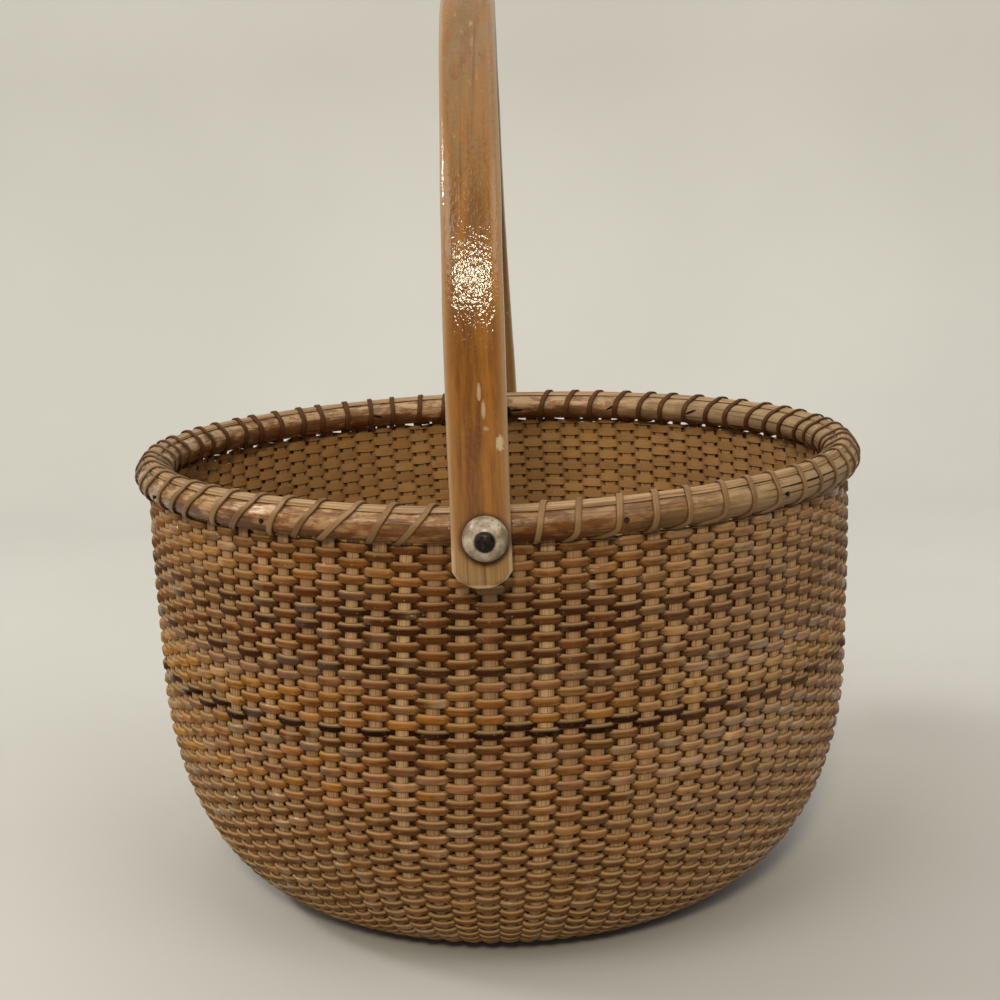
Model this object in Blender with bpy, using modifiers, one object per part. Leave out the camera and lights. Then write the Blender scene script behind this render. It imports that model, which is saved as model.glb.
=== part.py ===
"""Round lightship basket: turned base, rattan staves, cane wall, lashed rim and swing handle.

Lengths are metres and +Z is up. The origin is on the table, under the middle of the base.
The handle's two pins lie on a line along Y, the front one at -Y.
"""

import math

import bmesh
import bpy
from mathutils import Matrix, Vector, kdtree
from mathutils.geometry import interpolate_bezier

# Clearance between pieces that touch, and how far a cutter runs past what it cuts
GAP = 0.0003
OVERRUN = 0.002
MERGE = 0.00001
SMOOTH_ANGLE = math.radians(40)
MITRE_LEAST_SHARE = 0.5

# Rim: the circle that the staves stand on between the hoops, and the middle of the rim's section
RIM_RADIUS = 0.1232
RIM_HEIGHT = 0.1538
RIM_HALF_HEIGHT = 0.0056
HOOP_THICKNESS = 0.0049
HOOP_HEIGHT = 0.0097
HOOP_SPACING = 0.0028

# Filler strip on top of the rim
FILLER_WIDTH = 0.0054
FILLER_THICKNESS = 0.0012
FILLER_CROWN_SHARE = 0.55

# Staves
STAVE_COUNT = 93
STAVE_WIDTH = 0.0044
STAVE_THICKNESS = 0.0011
STAVE_BUTT = 0.0018
STAVE_TUCK = 0.0005
STAVE_PHASE_SHARE = 0.25

# Woven wall: its thickness, and its outline from the rim down to the ring it stands on
WALL_THICKNESS = 0.0013
WALL_TO_STAVE = 0.00045
BELLY = 0.0007
SHOULDER_INSET = 0.0006
SHOULDER_HEIGHT = 0.0831
SHOULDER_DRIFT_SHARE = 0.015
FOOT_RADIUS = 0.0740
FOOT_WIDTH = 0.0050
SIDE_PULL_SHARE = 0.727
FLOOR_PULL_SHARE = 0.387

# Base plate, turned, with a groove in its edge for the staves
PLATE_CLEARANCE = 0.0006
PLATE_LIFT = 0.0004
PLATE_THICKNESS = 0.0070
PLATE_EDGE_RADIUS = 0.0020
GROOVE_DEPTH = 0.0074
SCRIBE_RADIUS = 0.0440
SCRIBE_WIDTH = 0.0014
SCRIBE_DEPTH = 0.0006
PLUG_RADIUS = 0.0048
PLUG_CROWN = 0.0005

# Lashing: one flat strand of cane round the rim
LASHING_WIDTH = 0.0022
LASHING_THICKNESS = 0.0007
LASHING_EASE = 0.00005
LASHING_CURL_STEPS = 8
LASHING_SIDE_COUNT = 31
LASHING_LEAN_SHARE = 0.12
LASHING_SQUARE_SHARE = 0.78
LASHING_OPEN_COUNT = 2
LASHING_PROBE_STEPS = 4
LASHING_PROBE_COUNT = 24
PIN_ROOM_SHARE = 1.2

# Brads through the hoops
BRAD_COUNT = 10
BRAD_RADIUS = 0.0005
BRAD_HEAD_RADIUS = 0.0009
BRAD_HEAD_THICKNESS = 0.0004
BRAD_BITE = 0.0034

# Handle: a bent strap outside the rim
HANDLE_CLEARANCE = 0.0004
HANDLE_THICKNESS = 0.0056
HANDLE_WIDTH = 0.0176
HANDLE_CROWN_WIDTH = 0.0148
HANDLE_LEG = 0.03135
HANDLE_FOOT = 0.01495
HANDLE_FOOT_ROUND = 0.0062
HANDLE_BEVEL = 0.0014
FOOT_FLAT_SHARE = 0.45
FOOT_STATION_SHARES = (0.0, 0.12, 0.35, 0.65, 1.0)

# Pins, knobs and washers at the handle's pivots, which lie below the hoops' middle
PIN_DROP = 0.00135
PIN_RADIUS = 0.0015
PIN_HEAD_RADIUS = 0.0028
PIN_HEAD_HEIGHT = 0.0011
PIN_TAIL_RADIUS = 0.0022
PIN_TAIL_HEIGHT = 0.0009
KNOB_RADIUS = 0.00665
KNOB_HEIGHT = 0.0052
KNOB_EDGE = 0.0008
KNOB_LAND_RADIUS = 0.0031
SPACER_RADIUS = 0.0045
BURR_RADIUS = 0.0030
BURR_THICKNESS = 0.0010

# Facets
HOOP_STEPS = 60
WALL_STEPS = 46
PLATE_STEPS = 32
SMALL_STEPS = 16
BRAD_STEPS = 6
BORE_STEPS = 12
HOOP_ARC_STEPS = 5
TURN_STEPS = 8
SIDE_STEPS = 2
ARCH_STEPS = 18
EDGE_ARC_STEPS = 3
KNOB_ARC_STEPS = 5
PIN_HEAD_STEPS = 3
FLAT_DOME_STEPS = 2

# Colour, roughness and metallic value of each material
FINISHES = {
    "cane": ((0.46, 0.30, 0.17, 1.0), 0.6, 0.0),
    "rattan": ((0.60, 0.45, 0.28, 1.0), 0.6, 0.0),
    "hoop_wood": ((0.50, 0.33, 0.17, 1.0), 0.35, 0.0),
    "handle_wood": ((0.55, 0.30, 0.10, 1.0), 0.3, 0.0),
    "plate_wood": ((0.45, 0.27, 0.13, 1.0), 0.5, 0.0),
    "bone": ((0.62, 0.58, 0.47, 1.0), 0.35, 0.0),
    "dark_metal": ((0.08, 0.07, 0.06, 1.0), 0.4, 1.0)}

# Sizes that follow
stave_setback = WALL_THICKNESS + WALL_TO_STAVE + STAVE_THICKNESS / 2
stave_pitch = math.tau / STAVE_COUNT
gap_phase_share = STAVE_PHASE_SHARE + 0.5
stave_half_angle = STAVE_WIDTH / (2 * RIM_RADIUS)
rim_half_width = HOOP_SPACING / 2 + HOOP_THICKNESS
hoop_middle = RIM_HEIGHT - RIM_HALF_HEIGHT + HOOP_HEIGHT / 2
hoop_top = hoop_middle + HOOP_HEIGHT / 2
pin_line = hoop_middle - PIN_DROP
hoop_outside = RIM_RADIUS + rim_half_width
hoop_inside = RIM_RADIUS - rim_half_width
lashing_offset = GAP + LASHING_EASE + LASHING_THICKNESS / 2
lashing_proud = lashing_offset + LASHING_THICKNESS / 2
lashed_outside = hoop_outside + lashing_proud
wall_top = RIM_HEIGHT - RIM_HALF_HEIGHT - lashing_proud - 2 * GAP
plate_radius = FOOT_RADIUS - FOOT_WIDTH - PLATE_CLEARANCE
plate_top = PLATE_LIFT + PLATE_THICKNESS
front_angle = -math.pi / 2
handle_inside = lashed_outside + HANDLE_CLEARANCE
handle_outside = handle_inside + HANDLE_THICKNESS
knob_base = handle_outside + GAP
burr_outer_face = hoop_inside - GAP
bore_radius = PIN_RADIUS + GAP


def clear_objects():
    for old in list(bpy.data.objects):
        bpy.data.objects.remove(old, do_unlink=True)


def make_collection(name):
    collection = bpy.data.collections.new(name)
    bpy.context.scene.collection.children.link(collection)
    return collection


def make_material(name):
    colour, roughness, metallic = FINISHES[name]
    material = bpy.data.materials.new(name)
    material.use_nodes = True
    shader = material.node_tree.nodes["Principled BSDF"]
    shader.inputs["Base Color"].default_value = colour
    shader.inputs["Roughness"].default_value = roughness
    shader.inputs["Metallic"].default_value = metallic
    return material


def place(name, data, collection, material=None):
    """An object that holds data, in a collection."""
    item = bpy.data.objects.new(name, data)
    collection.objects.link(item)
    if material:
        data.materials.append(material)
    return item


def finish_mesh(bm, name):
    """A mesh from bm, faces out and shaded smooth apart from its sharp edges."""
    bmesh.ops.recalc_face_normals(bm, faces=bm.faces)
    mesh = bpy.data.meshes.new(name)
    bm.to_mesh(mesh)
    bm.free()
    mesh.shade_smooth()
    mesh.set_sharp_from_angle(angle=SMOOTH_ANGLE)
    return mesh


def join_rings(bm, rings):
    """Skin a row of sections of equal length, with a face on each end."""
    for first, last in zip(rings, rings[1:]):
        for i in range(len(first)):
            j = (i + 1) % len(first)
            bm.faces.new((first[i], first[j], last[j], last[i]))
    bm.faces.new(rings[0])
    bm.faces.new(rings[-1])


def dome(radius, base, height, steps):
    """Outline of a dome, from its middle to its edge at the base."""
    angles = [math.pi / 2 * step / steps for step in range(steps + 1)]
    return [(radius * math.sin(angle), base + height * math.cos(angle)) for angle in angles]


def turned(name, outline, steps, collection, material, closed=True):
    """A turned piece about its own Z. The outline runs down its outer side."""
    count = len(outline)
    points = [(radius, 0.0, height) for radius, height in outline]
    edges = [(i, i + 1) for i in range(count - 1)]
    if closed:
        edges.append((count - 1, 0))
    mesh = bpy.data.meshes.new(name)
    mesh.from_pydata(points, edges, [])
    item = place(name, mesh, collection, material)
    screw = item.modifiers.new("turn", "SCREW")
    screw.axis = "Z"
    screw.angle = math.tau
    screw.steps = steps
    screw.render_steps = steps
    screw.use_merge_vertices = True
    screw.merge_threshold = MERGE
    screw.use_smooth_shade = True
    return item


def stand_on_pin_line(item, side):
    """Turn a piece made along +Z so that it points out of the rim, -1 in front and 1 behind."""
    item.location = (0.0, 0.0, pin_line)
    item.rotation_euler = (-side * math.pi / 2, 0.0, 0.0)


def cut(item, cutter):
    boolean = item.modifiers.new("cut_" + cutter.name, "BOOLEAN")
    boolean.operation = "DIFFERENCE"
    boolean.solver = "EXACT"
    boolean.object = cutter


def rod_cutter(name, radius, start, end, angles, height, steps, collection):
    """Rods that point out from the basket's axis at one height, one at each angle."""
    bm = bmesh.new()
    for angle in angles:
        direction = Matrix.Rotation(angle, 4, "Z") @ Matrix.Rotation(math.pi / 2, 4, "Y")
        middle = Matrix.Translation((0.0, 0.0, (start + end) / 2))
        lift = Matrix.Translation((0.0, 0.0, height))
        bmesh.ops.create_cone(
            bm, cap_ends=True, segments=steps, radius1=radius, radius2=radius,
            depth=end - start, matrix=lift @ direction @ middle)
    cutter = place(name, finish_mesh(bm, name), collection)
    cutter.hide_render = True
    cutter.display_type = "WIRE"
    return cutter


# Outline of the wall

def wall_side(steps):
    """Outer points of the upper wall, from its top edge down to the shoulder."""
    top_radius = RIM_RADIUS + stave_setback
    shoulder_radius = top_radius - SHOULDER_INSET
    drop = (wall_top - SHOULDER_HEIGHT) / 3
    return interpolate_bezier(
        Vector((top_radius, wall_top)),
        Vector((top_radius + BELLY, wall_top - drop)),
        Vector((shoulder_radius + drop * SHOULDER_DRIFT_SHARE, SHOULDER_HEIGHT + drop)),
        Vector((shoulder_radius, SHOULDER_HEIGHT)), steps + 1)


def wall_turn(steps):
    """Outer points from the shoulder down to the outer edge of the ring that it stands on."""
    shoulder_radius = RIM_RADIUS + stave_setback - SHOULDER_INSET
    pull = SIDE_PULL_SHARE * SHOULDER_HEIGHT
    floor_pull = FLOOR_PULL_SHARE * (shoulder_radius - FOOT_RADIUS)
    return interpolate_bezier(
        Vector((shoulder_radius, SHOULDER_HEIGHT)),
        Vector((shoulder_radius - pull * SHOULDER_DRIFT_SHARE, SHOULDER_HEIGHT - pull)),
        Vector((FOOT_RADIUS + floor_pull, 0.0)),
        Vector((FOOT_RADIUS, 0.0)), steps + 1)


def wall_outline(skip=1):
    """Outer points of the wall, top edge to inner edge of the foot, or every skip-th of them."""
    foot_inner = Vector((FOOT_RADIUS - FOOT_WIDTH, 0.0))
    side = wall_side(SIDE_STEPS)[::skip]
    turn = wall_turn(TURN_STEPS)[::skip]
    return side + turn[1:] + [foot_inner]


def moved_in(points, distance):
    """The same outline, moved square to itself towards the inside of the basket."""
    result = []
    for i, point in enumerate(points):
        before = points[max(i - 1, 0)]
        after = points[min(i + 1, len(points) - 1)]
        first = (point - before).normalized() if i else (after - point).normalized()
        last = (after - point).normalized() if i < len(points) - 1 else first
        along = (first + last).normalized()
        stretch = 1 / max(along.dot(first), MITRE_LEAST_SHARE)
        result.append(point + Vector((along.y, -along.x)) * distance * stretch)
    return result


# Pieces

def make_base_plate(collection, material):
    lower = stave_setback - STAVE_THICKNESS / 2 - GAP
    upper = stave_setback + STAVE_THICKNESS / 2 + GAP
    floor = plate_radius - GROOVE_DEPTH
    bore = PLUG_RADIUS + GAP
    lip = (lower - PLATE_LIFT) / 2
    outline = [
        (bore, plate_top),
        (SCRIBE_RADIUS - SCRIBE_WIDTH / 2, plate_top),
        (SCRIBE_RADIUS, plate_top - SCRIBE_DEPTH),
        (SCRIBE_RADIUS + SCRIBE_WIDTH / 2, plate_top)]
    edge = plate_radius - PLATE_EDGE_RADIUS
    shoulder = plate_top - PLATE_EDGE_RADIUS
    outline += [(edge + radius, height) for radius, height in
                dome(PLATE_EDGE_RADIUS, shoulder, PLATE_EDGE_RADIUS, EDGE_ARC_STEPS)]
    outline += [
        (plate_radius, upper), (floor, upper), (floor, lower), (plate_radius, lower),
        (plate_radius, PLATE_LIFT + lip), (plate_radius - lip, PLATE_LIFT),
        (bore, PLATE_LIFT)]
    return turned("base_plate", outline, PLATE_STEPS, collection, material)


def make_base_plug(collection, material):
    outline = dome(PLUG_RADIUS, plate_top, PLUG_CROWN, FLAT_DOME_STEPS)
    outline += [(PLUG_RADIUS, PLATE_LIFT), (0.0, PLATE_LIFT)]
    return turned("base_plug", outline, BORE_STEPS, collection, material, closed=False)


def make_woven_wall(collection, material):
    outer = wall_outline()
    inner = moved_in(outer, WALL_THICKNESS)
    inner[0].y = wall_top
    inner[-1].x = outer[-1].x
    outline = [tuple(p) for p in outer] + [tuple(p) for p in reversed(inner)]
    return turned("woven_wall", outline, WALL_STEPS, collection, material)


def stave_sections():
    """Lower and upper points of a stave, from its butt in the base to its top in the rim."""
    butt = plate_radius - GROOVE_DEPTH + GAP
    outer = wall_outline(skip=2)
    middle = moved_in(outer, stave_setback)
    route = [Vector((butt, stave_setback)), Vector((butt + STAVE_BUTT, stave_setback))]
    route += list(reversed(middle[1:-1]))
    route.append(Vector((RIM_RADIUS, hoop_top - STAVE_TUCK)))
    half = STAVE_THICKNESS / 2
    lower = moved_in(list(reversed(route)), -half)
    upper = moved_in(list(reversed(route)), half)
    return list(reversed(lower)), list(reversed(upper))


def make_stave_cage(collection, material, cutter):
    """All the staves, held at their butts by the ring that fills the base plate's groove."""
    lower, upper = stave_sections()
    bm = bmesh.new()

    def plane(angle):
        turn = Matrix.Rotation(angle, 3, "Z")
        return [[bm.verts.new(turn @ Vector((p.x, 0.0, p.y))) for p in side]
                for side in (lower, upper)]

    planes = []
    for stave in range(STAVE_COUNT):
        middle = front_angle + (stave + STAVE_PHASE_SHARE) * stave_pitch
        planes.append((plane(middle - stave_half_angle), plane(middle + stave_half_angle)))
    last = len(lower) - 1
    for stave, (left, right) in enumerate(planes):
        for side in (0, 1):
            for i in range(last):
                bm.faces.new((left[side][i], left[side][i + 1],
                              right[side][i + 1], right[side][i]))
        for edge in (left, right):
            for i in range(1, last):
                bm.faces.new((edge[0][i], edge[0][i + 1], edge[1][i + 1], edge[1][i]))
        for i in (0, last):
            bm.faces.new((left[0][i], left[1][i], right[1][i], right[0][i]))
        far = planes[(stave + 1) % STAVE_COUNT][0]
        for side in (0, 1):
            bm.faces.new((right[side][0], right[side][1], far[side][1], far[side][0]))
        for i in (0, 1):
            bm.faces.new((right[0][i], right[1][i], far[1][i], far[0][i]))
    cage = place("stave_cage", finish_mesh(bm, "stave_cage"), collection, material)
    cut(cage, cutter)
    return cage


def hoop_outline(direction):
    """Half-round section: flat towards the staves, round away from them."""
    flat = RIM_RADIUS + direction * HOOP_SPACING / 2
    points = []
    for step in range(HOOP_ARC_STEPS + 1):
        angle = math.pi / 2 - math.pi * step / HOOP_ARC_STEPS
        points.append((flat + direction * HOOP_THICKNESS * math.cos(angle),
                       hoop_middle + HOOP_HEIGHT / 2 * math.sin(angle)))
    return points if direction > 0 else list(reversed(points))


def make_hoop(name, direction, collection, material, cutters):
    hoop = turned(name, hoop_outline(direction), HOOP_STEPS, collection, material)
    for cutter in cutters:
        cut(hoop, cutter)
    return hoop


def make_rim_filler(collection, material):
    base = hoop_top + GAP
    half = FILLER_WIDTH / 2
    shares = ((FILLER_CROWN_SHARE, 1.0), (1.0, 0.0))
    outer = [(RIM_RADIUS + half * wide, base + FILLER_THICKNESS * high) for wide, high in shares]
    inner = [(RIM_RADIUS - half * wide, base + FILLER_THICKNESS * high) for wide, high in shares]
    return turned("rim_filler", outer + list(reversed(inner)), HOOP_STEPS, collection, material)


# Lashing: the strand passes under the hoops between two staves at each wrap

def gap_angle(place_number):
    """Angle of a gap between staves, counted from the front pin."""
    return front_angle + (place_number + gap_phase_share) * stave_pitch


def even_spans(total, count):
    """A whole number shared out as evenly as whole numbers allow."""
    return [(i + 1) * total // count - i * total // count for i in range(count)]


def lashing_wraps():
    """First gap and number of gaps of each wrap. Wide wraps leave room for the pins."""
    back = STAVE_COUNT / 2
    after_front = math.ceil(PIN_ROOM_SHARE - gap_phase_share)
    before_back = math.floor(back - PIN_ROOM_SHARE - gap_phase_share)
    after_back = math.ceil(back + PIN_ROOM_SHARE - gap_phase_share)
    before_front = STAVE_COUNT + math.floor(-PIN_ROOM_SHARE - gap_phase_share)
    spans = even_spans(before_back - after_front, LASHING_SIDE_COUNT)
    spans.append(after_back - before_back)
    spans += even_spans(before_front - after_back, LASHING_SIDE_COUNT)
    spans.append(after_front + STAVE_COUNT - before_front)
    wraps = []
    start = after_front
    for span in spans:
        wraps.append((start, span))
        start += span
    return wraps


def squared(value):
    """Sine or cosine of a rounded rectangle, which the rim's section is."""
    return math.copysign(abs(value) ** LASHING_SQUARE_SHARE, value)


def lashing_points():
    """The strand's middle line. It leans most over the top of the rim, and its ends don't meet."""
    count = LASHING_CURL_STEPS
    reach = 1 / squared(math.cos(math.pi / count))
    half_width = (rim_half_width + lashing_offset) * reach
    half_height = (RIM_HALF_HEIGHT + lashing_offset) * reach
    points = []
    for start, span in lashing_wraps():
        for k in range(count):
            share = (k + 0.5) / count
            around = math.tau * share - math.pi / 2
            lean = share - LASHING_LEAN_SHARE * math.sin(math.tau * share)
            angle = gap_angle(start) + span * stave_pitch * lean
            radius = RIM_RADIUS + half_width * squared(math.cos(around))
            height = RIM_HEIGHT + half_height * squared(math.sin(around))
            points.append(Vector((radius * math.cos(angle), radius * math.sin(angle), height)))
    return points[:-LASHING_OPEN_COUNT]


def print_least_gap(points):
    """The least gap between the strand and its own other wraps, measured on points."""
    steps = LASHING_PROBE_STEPS
    line = []
    for first, last in zip(points, points[1:]):
        line += [first.lerp(last, k / steps) for k in range(steps)]
    tree = kdtree.KDTree(len(line))
    for i, point in enumerate(line):
        tree.insert(point, i)
    tree.balance()
    far = steps * LASHING_CURL_STEPS // 2
    least = min(distance
                for i, point in enumerate(line)
                for _, j, distance in tree.find_n(point, LASHING_PROBE_COUNT)
                if abs(i - j) > far)
    print("rim_lashing least gap to itself: %.2f mm" % ((least - LASHING_WIDTH) * 1000))


def make_rim_lashing(collection, material):
    """A flat strand, so each section lies flat on the rim and is joined to the next."""
    points = lashing_points()
    print_least_gap(points)
    bm = bmesh.new()
    rings = []
    for i, point in enumerate(points):
        along = points[min(i + 1, len(points) - 1)] - points[max(i - 1, 0)]
        along.normalize()
        middle = Vector((point.x, point.y, 0.0)).normalized() * RIM_RADIUS
        outward = point - middle - Vector((0.0, 0.0, RIM_HEIGHT))
        outward = (outward - outward.dot(along) * along).normalized()
        across = along.cross(outward)
        rings.append([
            bm.verts.new(point + across * x * LASHING_WIDTH + outward * y * LASHING_THICKNESS)
            for x, y in ((-0.5, -0.5), (0.5, -0.5), (0.5, 0.5), (-0.5, 0.5))])
    join_rings(bm, rings)
    return place("rim_lashing", finish_mesh(bm, "rim_lashing"), collection, material)


# Brads

def brad_angles():
    """Brads sit in gaps that the lashing passes over, spread round the rim."""
    free = [start + 1 for start, span in lashing_wraps() if span == 2]
    return [gap_angle(free[i * len(free) // BRAD_COUNT]) for i in range(BRAD_COUNT)]


def make_brads(collection, material):
    head = hoop_outside + GAP
    tip = RIM_RADIUS - HOOP_SPACING / 2 - BRAD_BITE
    outline = [
        (0.0, head + BRAD_HEAD_THICKNESS), (BRAD_HEAD_RADIUS, head + BRAD_HEAD_THICKNESS / 2),
        (BRAD_HEAD_RADIUS, head), (BRAD_RADIUS, head), (BRAD_RADIUS, tip), (0.0, tip)]
    for number, angle in enumerate(brad_angles(), 1):
        name = "rim_brad_%d" % number
        brad = turned(name, outline, BRAD_STEPS, collection, material, closed=False)
        brad.location = (0.0, 0.0, hoop_middle)
        brad.rotation_euler = (0.0, math.pi / 2, angle)


# Handle

def handle_half_width(height):
    """Half the strap's width at a height above the pins: it tapers to the crown."""
    crown = HANDLE_LEG + handle_outside
    share = min(max(height / crown, 0.0), 1.0)
    return (HANDLE_WIDTH + (HANDLE_CROWN_WIDTH - HANDLE_WIDTH) * share ** 2) / 2


def handle_stations():
    """Place, outward direction and half width of each section, from the front foot up and over."""
    radius = (handle_inside + handle_outside) / 2
    legs = []
    for share in FOOT_STATION_SHARES:
        drop = 1 - share
        narrow = math.sqrt(1 - (1 - FOOT_FLAT_SHARE ** 2) * drop ** 2)
        height = -HANDLE_FOOT + HANDLE_FOOT_ROUND * share
        legs.append((height, HANDLE_WIDTH / 2 * narrow))
    legs.append((0.0, handle_half_width(0.0)))
    stations = [(Vector((0.0, -radius, height)), Vector((0.0, -1.0, 0.0)), half)
                for height, half in legs]
    for step in range(ARCH_STEPS + 1):
        angle = math.pi * step / ARCH_STEPS
        outward = Vector((0.0, -math.cos(angle), math.sin(angle)))
        middle = outward * radius + Vector((0.0, 0.0, HANDLE_LEG))
        stations.append((middle, outward, handle_half_width(middle.z)))
    stations += [(Vector((0.0, radius, height)), Vector((0.0, 1.0, 0.0)), half)
                 for height, half in reversed(legs)]
    return stations


def make_handle(collection, material, cutter):
    bm = bmesh.new()
    deep = HANDLE_THICKNESS / 2
    across = Vector((1.0, 0.0, 0.0))
    rings = []
    for middle, outward, half in handle_stations():
        corners = [(half - HANDLE_BEVEL, deep), (half, deep - HANDLE_BEVEL),
                   (half, HANDLE_BEVEL - deep), (half - HANDLE_BEVEL, -deep)]
        corners += [(-x, y) for x, y in reversed(corners)]
        rings.append([bm.verts.new(middle + across * x + outward * y) for x, y in corners])
    join_rings(bm, rings)
    handle = place("handle", finish_mesh(bm, "handle"), collection, material)
    handle.location = (0.0, 0.0, pin_line)
    cut(handle, cutter)
    return handle


# Pins, knobs and washers

def washer_outline(outer, inner_face, outer_face):
    return [(outer, outer_face), (outer, inner_face), (bore_radius, inner_face),
            (bore_radius, outer_face)]


def knob_outline():
    """Domed knob with a flat land for the pin's head."""
    points = []
    rise = KNOB_HEIGHT - KNOB_EDGE
    start = math.asin(KNOB_LAND_RADIUS / KNOB_RADIUS)
    for step in range(KNOB_ARC_STEPS + 1):
        angle = start + (math.pi / 2 - start) * step / KNOB_ARC_STEPS
        height = KNOB_EDGE + rise * math.cos(angle) / math.cos(start)
        points.append((KNOB_RADIUS * math.sin(angle), knob_base + height))
    return points + [(KNOB_RADIUS, knob_base), (bore_radius, knob_base),
                     (bore_radius, knob_base + KNOB_HEIGHT)]


def pin_outline():
    """Head outside, shaft through knob, handle, washers and hoops, and the closed end inside."""
    head = knob_base + KNOB_HEIGHT + GAP
    tail = burr_outer_face - BURR_THICKNESS - GAP
    outline = dome(PIN_HEAD_RADIUS, head, PIN_HEAD_HEIGHT, PIN_HEAD_STEPS)
    outline += [(PIN_RADIUS, head), (PIN_RADIUS, tail)]
    return outline + dome(PIN_TAIL_RADIUS, tail, -PIN_TAIL_HEIGHT, FLAT_DOME_STEPS)[::-1]


def make_pivot(side, word, collection, bone, metal):
    """Everything on one pin: washer, knob, burr and the pin itself."""
    spacer = washer_outline(SPACER_RADIUS, hoop_outside + GAP, handle_inside - GAP)
    burr = washer_outline(BURR_RADIUS, burr_outer_face - BURR_THICKNESS, burr_outer_face)
    pieces = [
        turned(word + "_spacer_washer", spacer, SMALL_STEPS, collection, bone),
        turned(word + "_knob", knob_outline(), SMALL_STEPS, collection, bone),
        turned(word + "_burr", burr, SMALL_STEPS, collection, metal),
        turned(word + "_pin", pin_outline(), BORE_STEPS, collection, metal, closed=False)]
    for item in pieces:
        stand_on_pin_line(item, side)


def main():
    clear_objects()
    parts = make_collection("nantucket_basket")
    cutters = make_collection("cutters")

    cane = make_material("cane")
    rattan = make_material("rattan")
    hoop_wood = make_material("hoop_wood")
    handle_wood = make_material("handle_wood")
    plate_wood = make_material("plate_wood")
    bone = make_material("bone")
    metal = make_material("dark_metal")

    pin_angles = (front_angle, front_angle + math.pi)
    inner_end = hoop_inside - OVERRUN
    pin_bores = rod_cutter("pin_bores", bore_radius, inner_end, handle_outside + OVERRUN,
                           pin_angles, pin_line, BORE_STEPS, cutters)
    brad_start = RIM_RADIUS - HOOP_SPACING / 2 - BRAD_BITE - GAP
    brad_bores = rod_cutter("brad_bores", BRAD_RADIUS + GAP, brad_start,
                            hoop_outside + OVERRUN, brad_angles(), hoop_middle,
                            BRAD_STEPS, cutters)

    make_base_plate(parts, plate_wood)
    make_base_plug(parts, plate_wood)
    make_stave_cage(parts, rattan, pin_bores)
    make_woven_wall(parts, cane)
    make_hoop("outer_hoop", 1, parts, hoop_wood, (pin_bores, brad_bores))
    make_hoop("inner_hoop", -1, parts, hoop_wood, (pin_bores, brad_bores))
    make_rim_filler(parts, rattan)
    make_rim_lashing(parts, cane)
    make_brads(parts, metal)
    make_handle(parts, handle_wood, pin_bores)
    for side, word in ((-1, "front"), (1, "back")):
        make_pivot(side, word, parts, bone, metal)


main()
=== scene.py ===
"""Looks of a round woven basket: woven cane wall, lashed rim and varnished swing handle.

Lengths are metres and +Z is up. Angles are radians from +X, anticlockwise from above, and the
front pin is at -Y. The wall is woven with one cane, which goes round in a spiral.
"""

import math

import bpy
import numpy as np
from mathutils import Matrix, Vector
from mathutils.geometry import convex_hull_2d


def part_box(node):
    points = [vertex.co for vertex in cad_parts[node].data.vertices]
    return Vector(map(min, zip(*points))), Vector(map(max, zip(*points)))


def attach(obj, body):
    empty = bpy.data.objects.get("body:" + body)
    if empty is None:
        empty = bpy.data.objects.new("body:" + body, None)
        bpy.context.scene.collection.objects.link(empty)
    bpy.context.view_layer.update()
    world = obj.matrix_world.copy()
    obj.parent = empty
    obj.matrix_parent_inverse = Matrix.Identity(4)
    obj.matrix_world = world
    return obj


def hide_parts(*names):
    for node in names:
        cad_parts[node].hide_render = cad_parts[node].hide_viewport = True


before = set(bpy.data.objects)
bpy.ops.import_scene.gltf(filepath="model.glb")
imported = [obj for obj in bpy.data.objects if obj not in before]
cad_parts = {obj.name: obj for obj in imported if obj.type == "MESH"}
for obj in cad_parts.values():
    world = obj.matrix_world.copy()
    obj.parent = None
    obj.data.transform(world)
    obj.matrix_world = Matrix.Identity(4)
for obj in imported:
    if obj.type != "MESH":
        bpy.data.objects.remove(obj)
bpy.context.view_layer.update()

# The front's angle, up, clearances, the sharpness of an edge, and the margins of the maps
FRONT = -math.pi / 2
UP = np.array((0.0, 0.0, 1.0))
GAP = 0.0003
EASE = 0.00005
AXIS = 0.00002
SMOOTH_ANGLE = math.radians(42)
MAP_MARGIN_SHARE = 0.04
MAP_SPOT = 0.001

# Camera, worked out from the rim's ellipse, the wall's outline and the staves' places
CAMERA_DISTANCE = 0.5958
CAMERA_HEIGHT = 0.2530
CAMERA_PITCH = math.radians(11.13)
CAMERA_ROLL = math.radians(1.925)
CAMERA_ORBIT = math.radians(1.754)
CAMERA_ASIDE = 0.00034
CAMERA_LENS = 59.37

# Rim: the circle that the staves stand on between the hoops
RIM_RADIUS = 0.1232
HOOP_SPACING = 0.0028
HOOP_GROOVE = 0.00010
FILLER_WIDTH = 0.0050
FILLER_THICKNESS = 0.0012
FILLER_OUTWARD = 0.0009
RIM_STEPS = 480
HOOP_CORNERS = 26

# The rim sags in front and rises on the left, each over its spread in radians
RIM_SAG = 0.0008
RIM_SAG_SPREAD = 0.5
RIM_RISE_SHARE = 1.1
RIM_RISE_ANGLE = FRONT - 1.25
RIM_RISE_SPREAD = 1.1
SAG_BOTTOM = 0.120
SAG_HEIGHT = 0.026

# Staves
STAVE_COUNT = 93
STAVE_WIDTH = 0.0036
STAVE_THICKNESS = 0.0018
STAVE_END_THICKNESS = 0.0012
STAVE_EDGE_SHARE = 0.5
STAVE_GROOVE = 0.00007
STAVE_SETBACK = 0.0016
STAVE_PHASE_SHARE = 0.12
STAVE_TWIST = 0.42
STAVE_CROWDING = 0.0013
STAVE_CROWDING_LENGTH = 0.05
STAVE_JITTER = 0.0003
STAVE_TUCK = 0.0005
STAVE_FOOT_RADIUS = 0.080
STAVE_FOOT_LENGTH = 0.010
STAVE_TOP_LENGTH = 0.004

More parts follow.
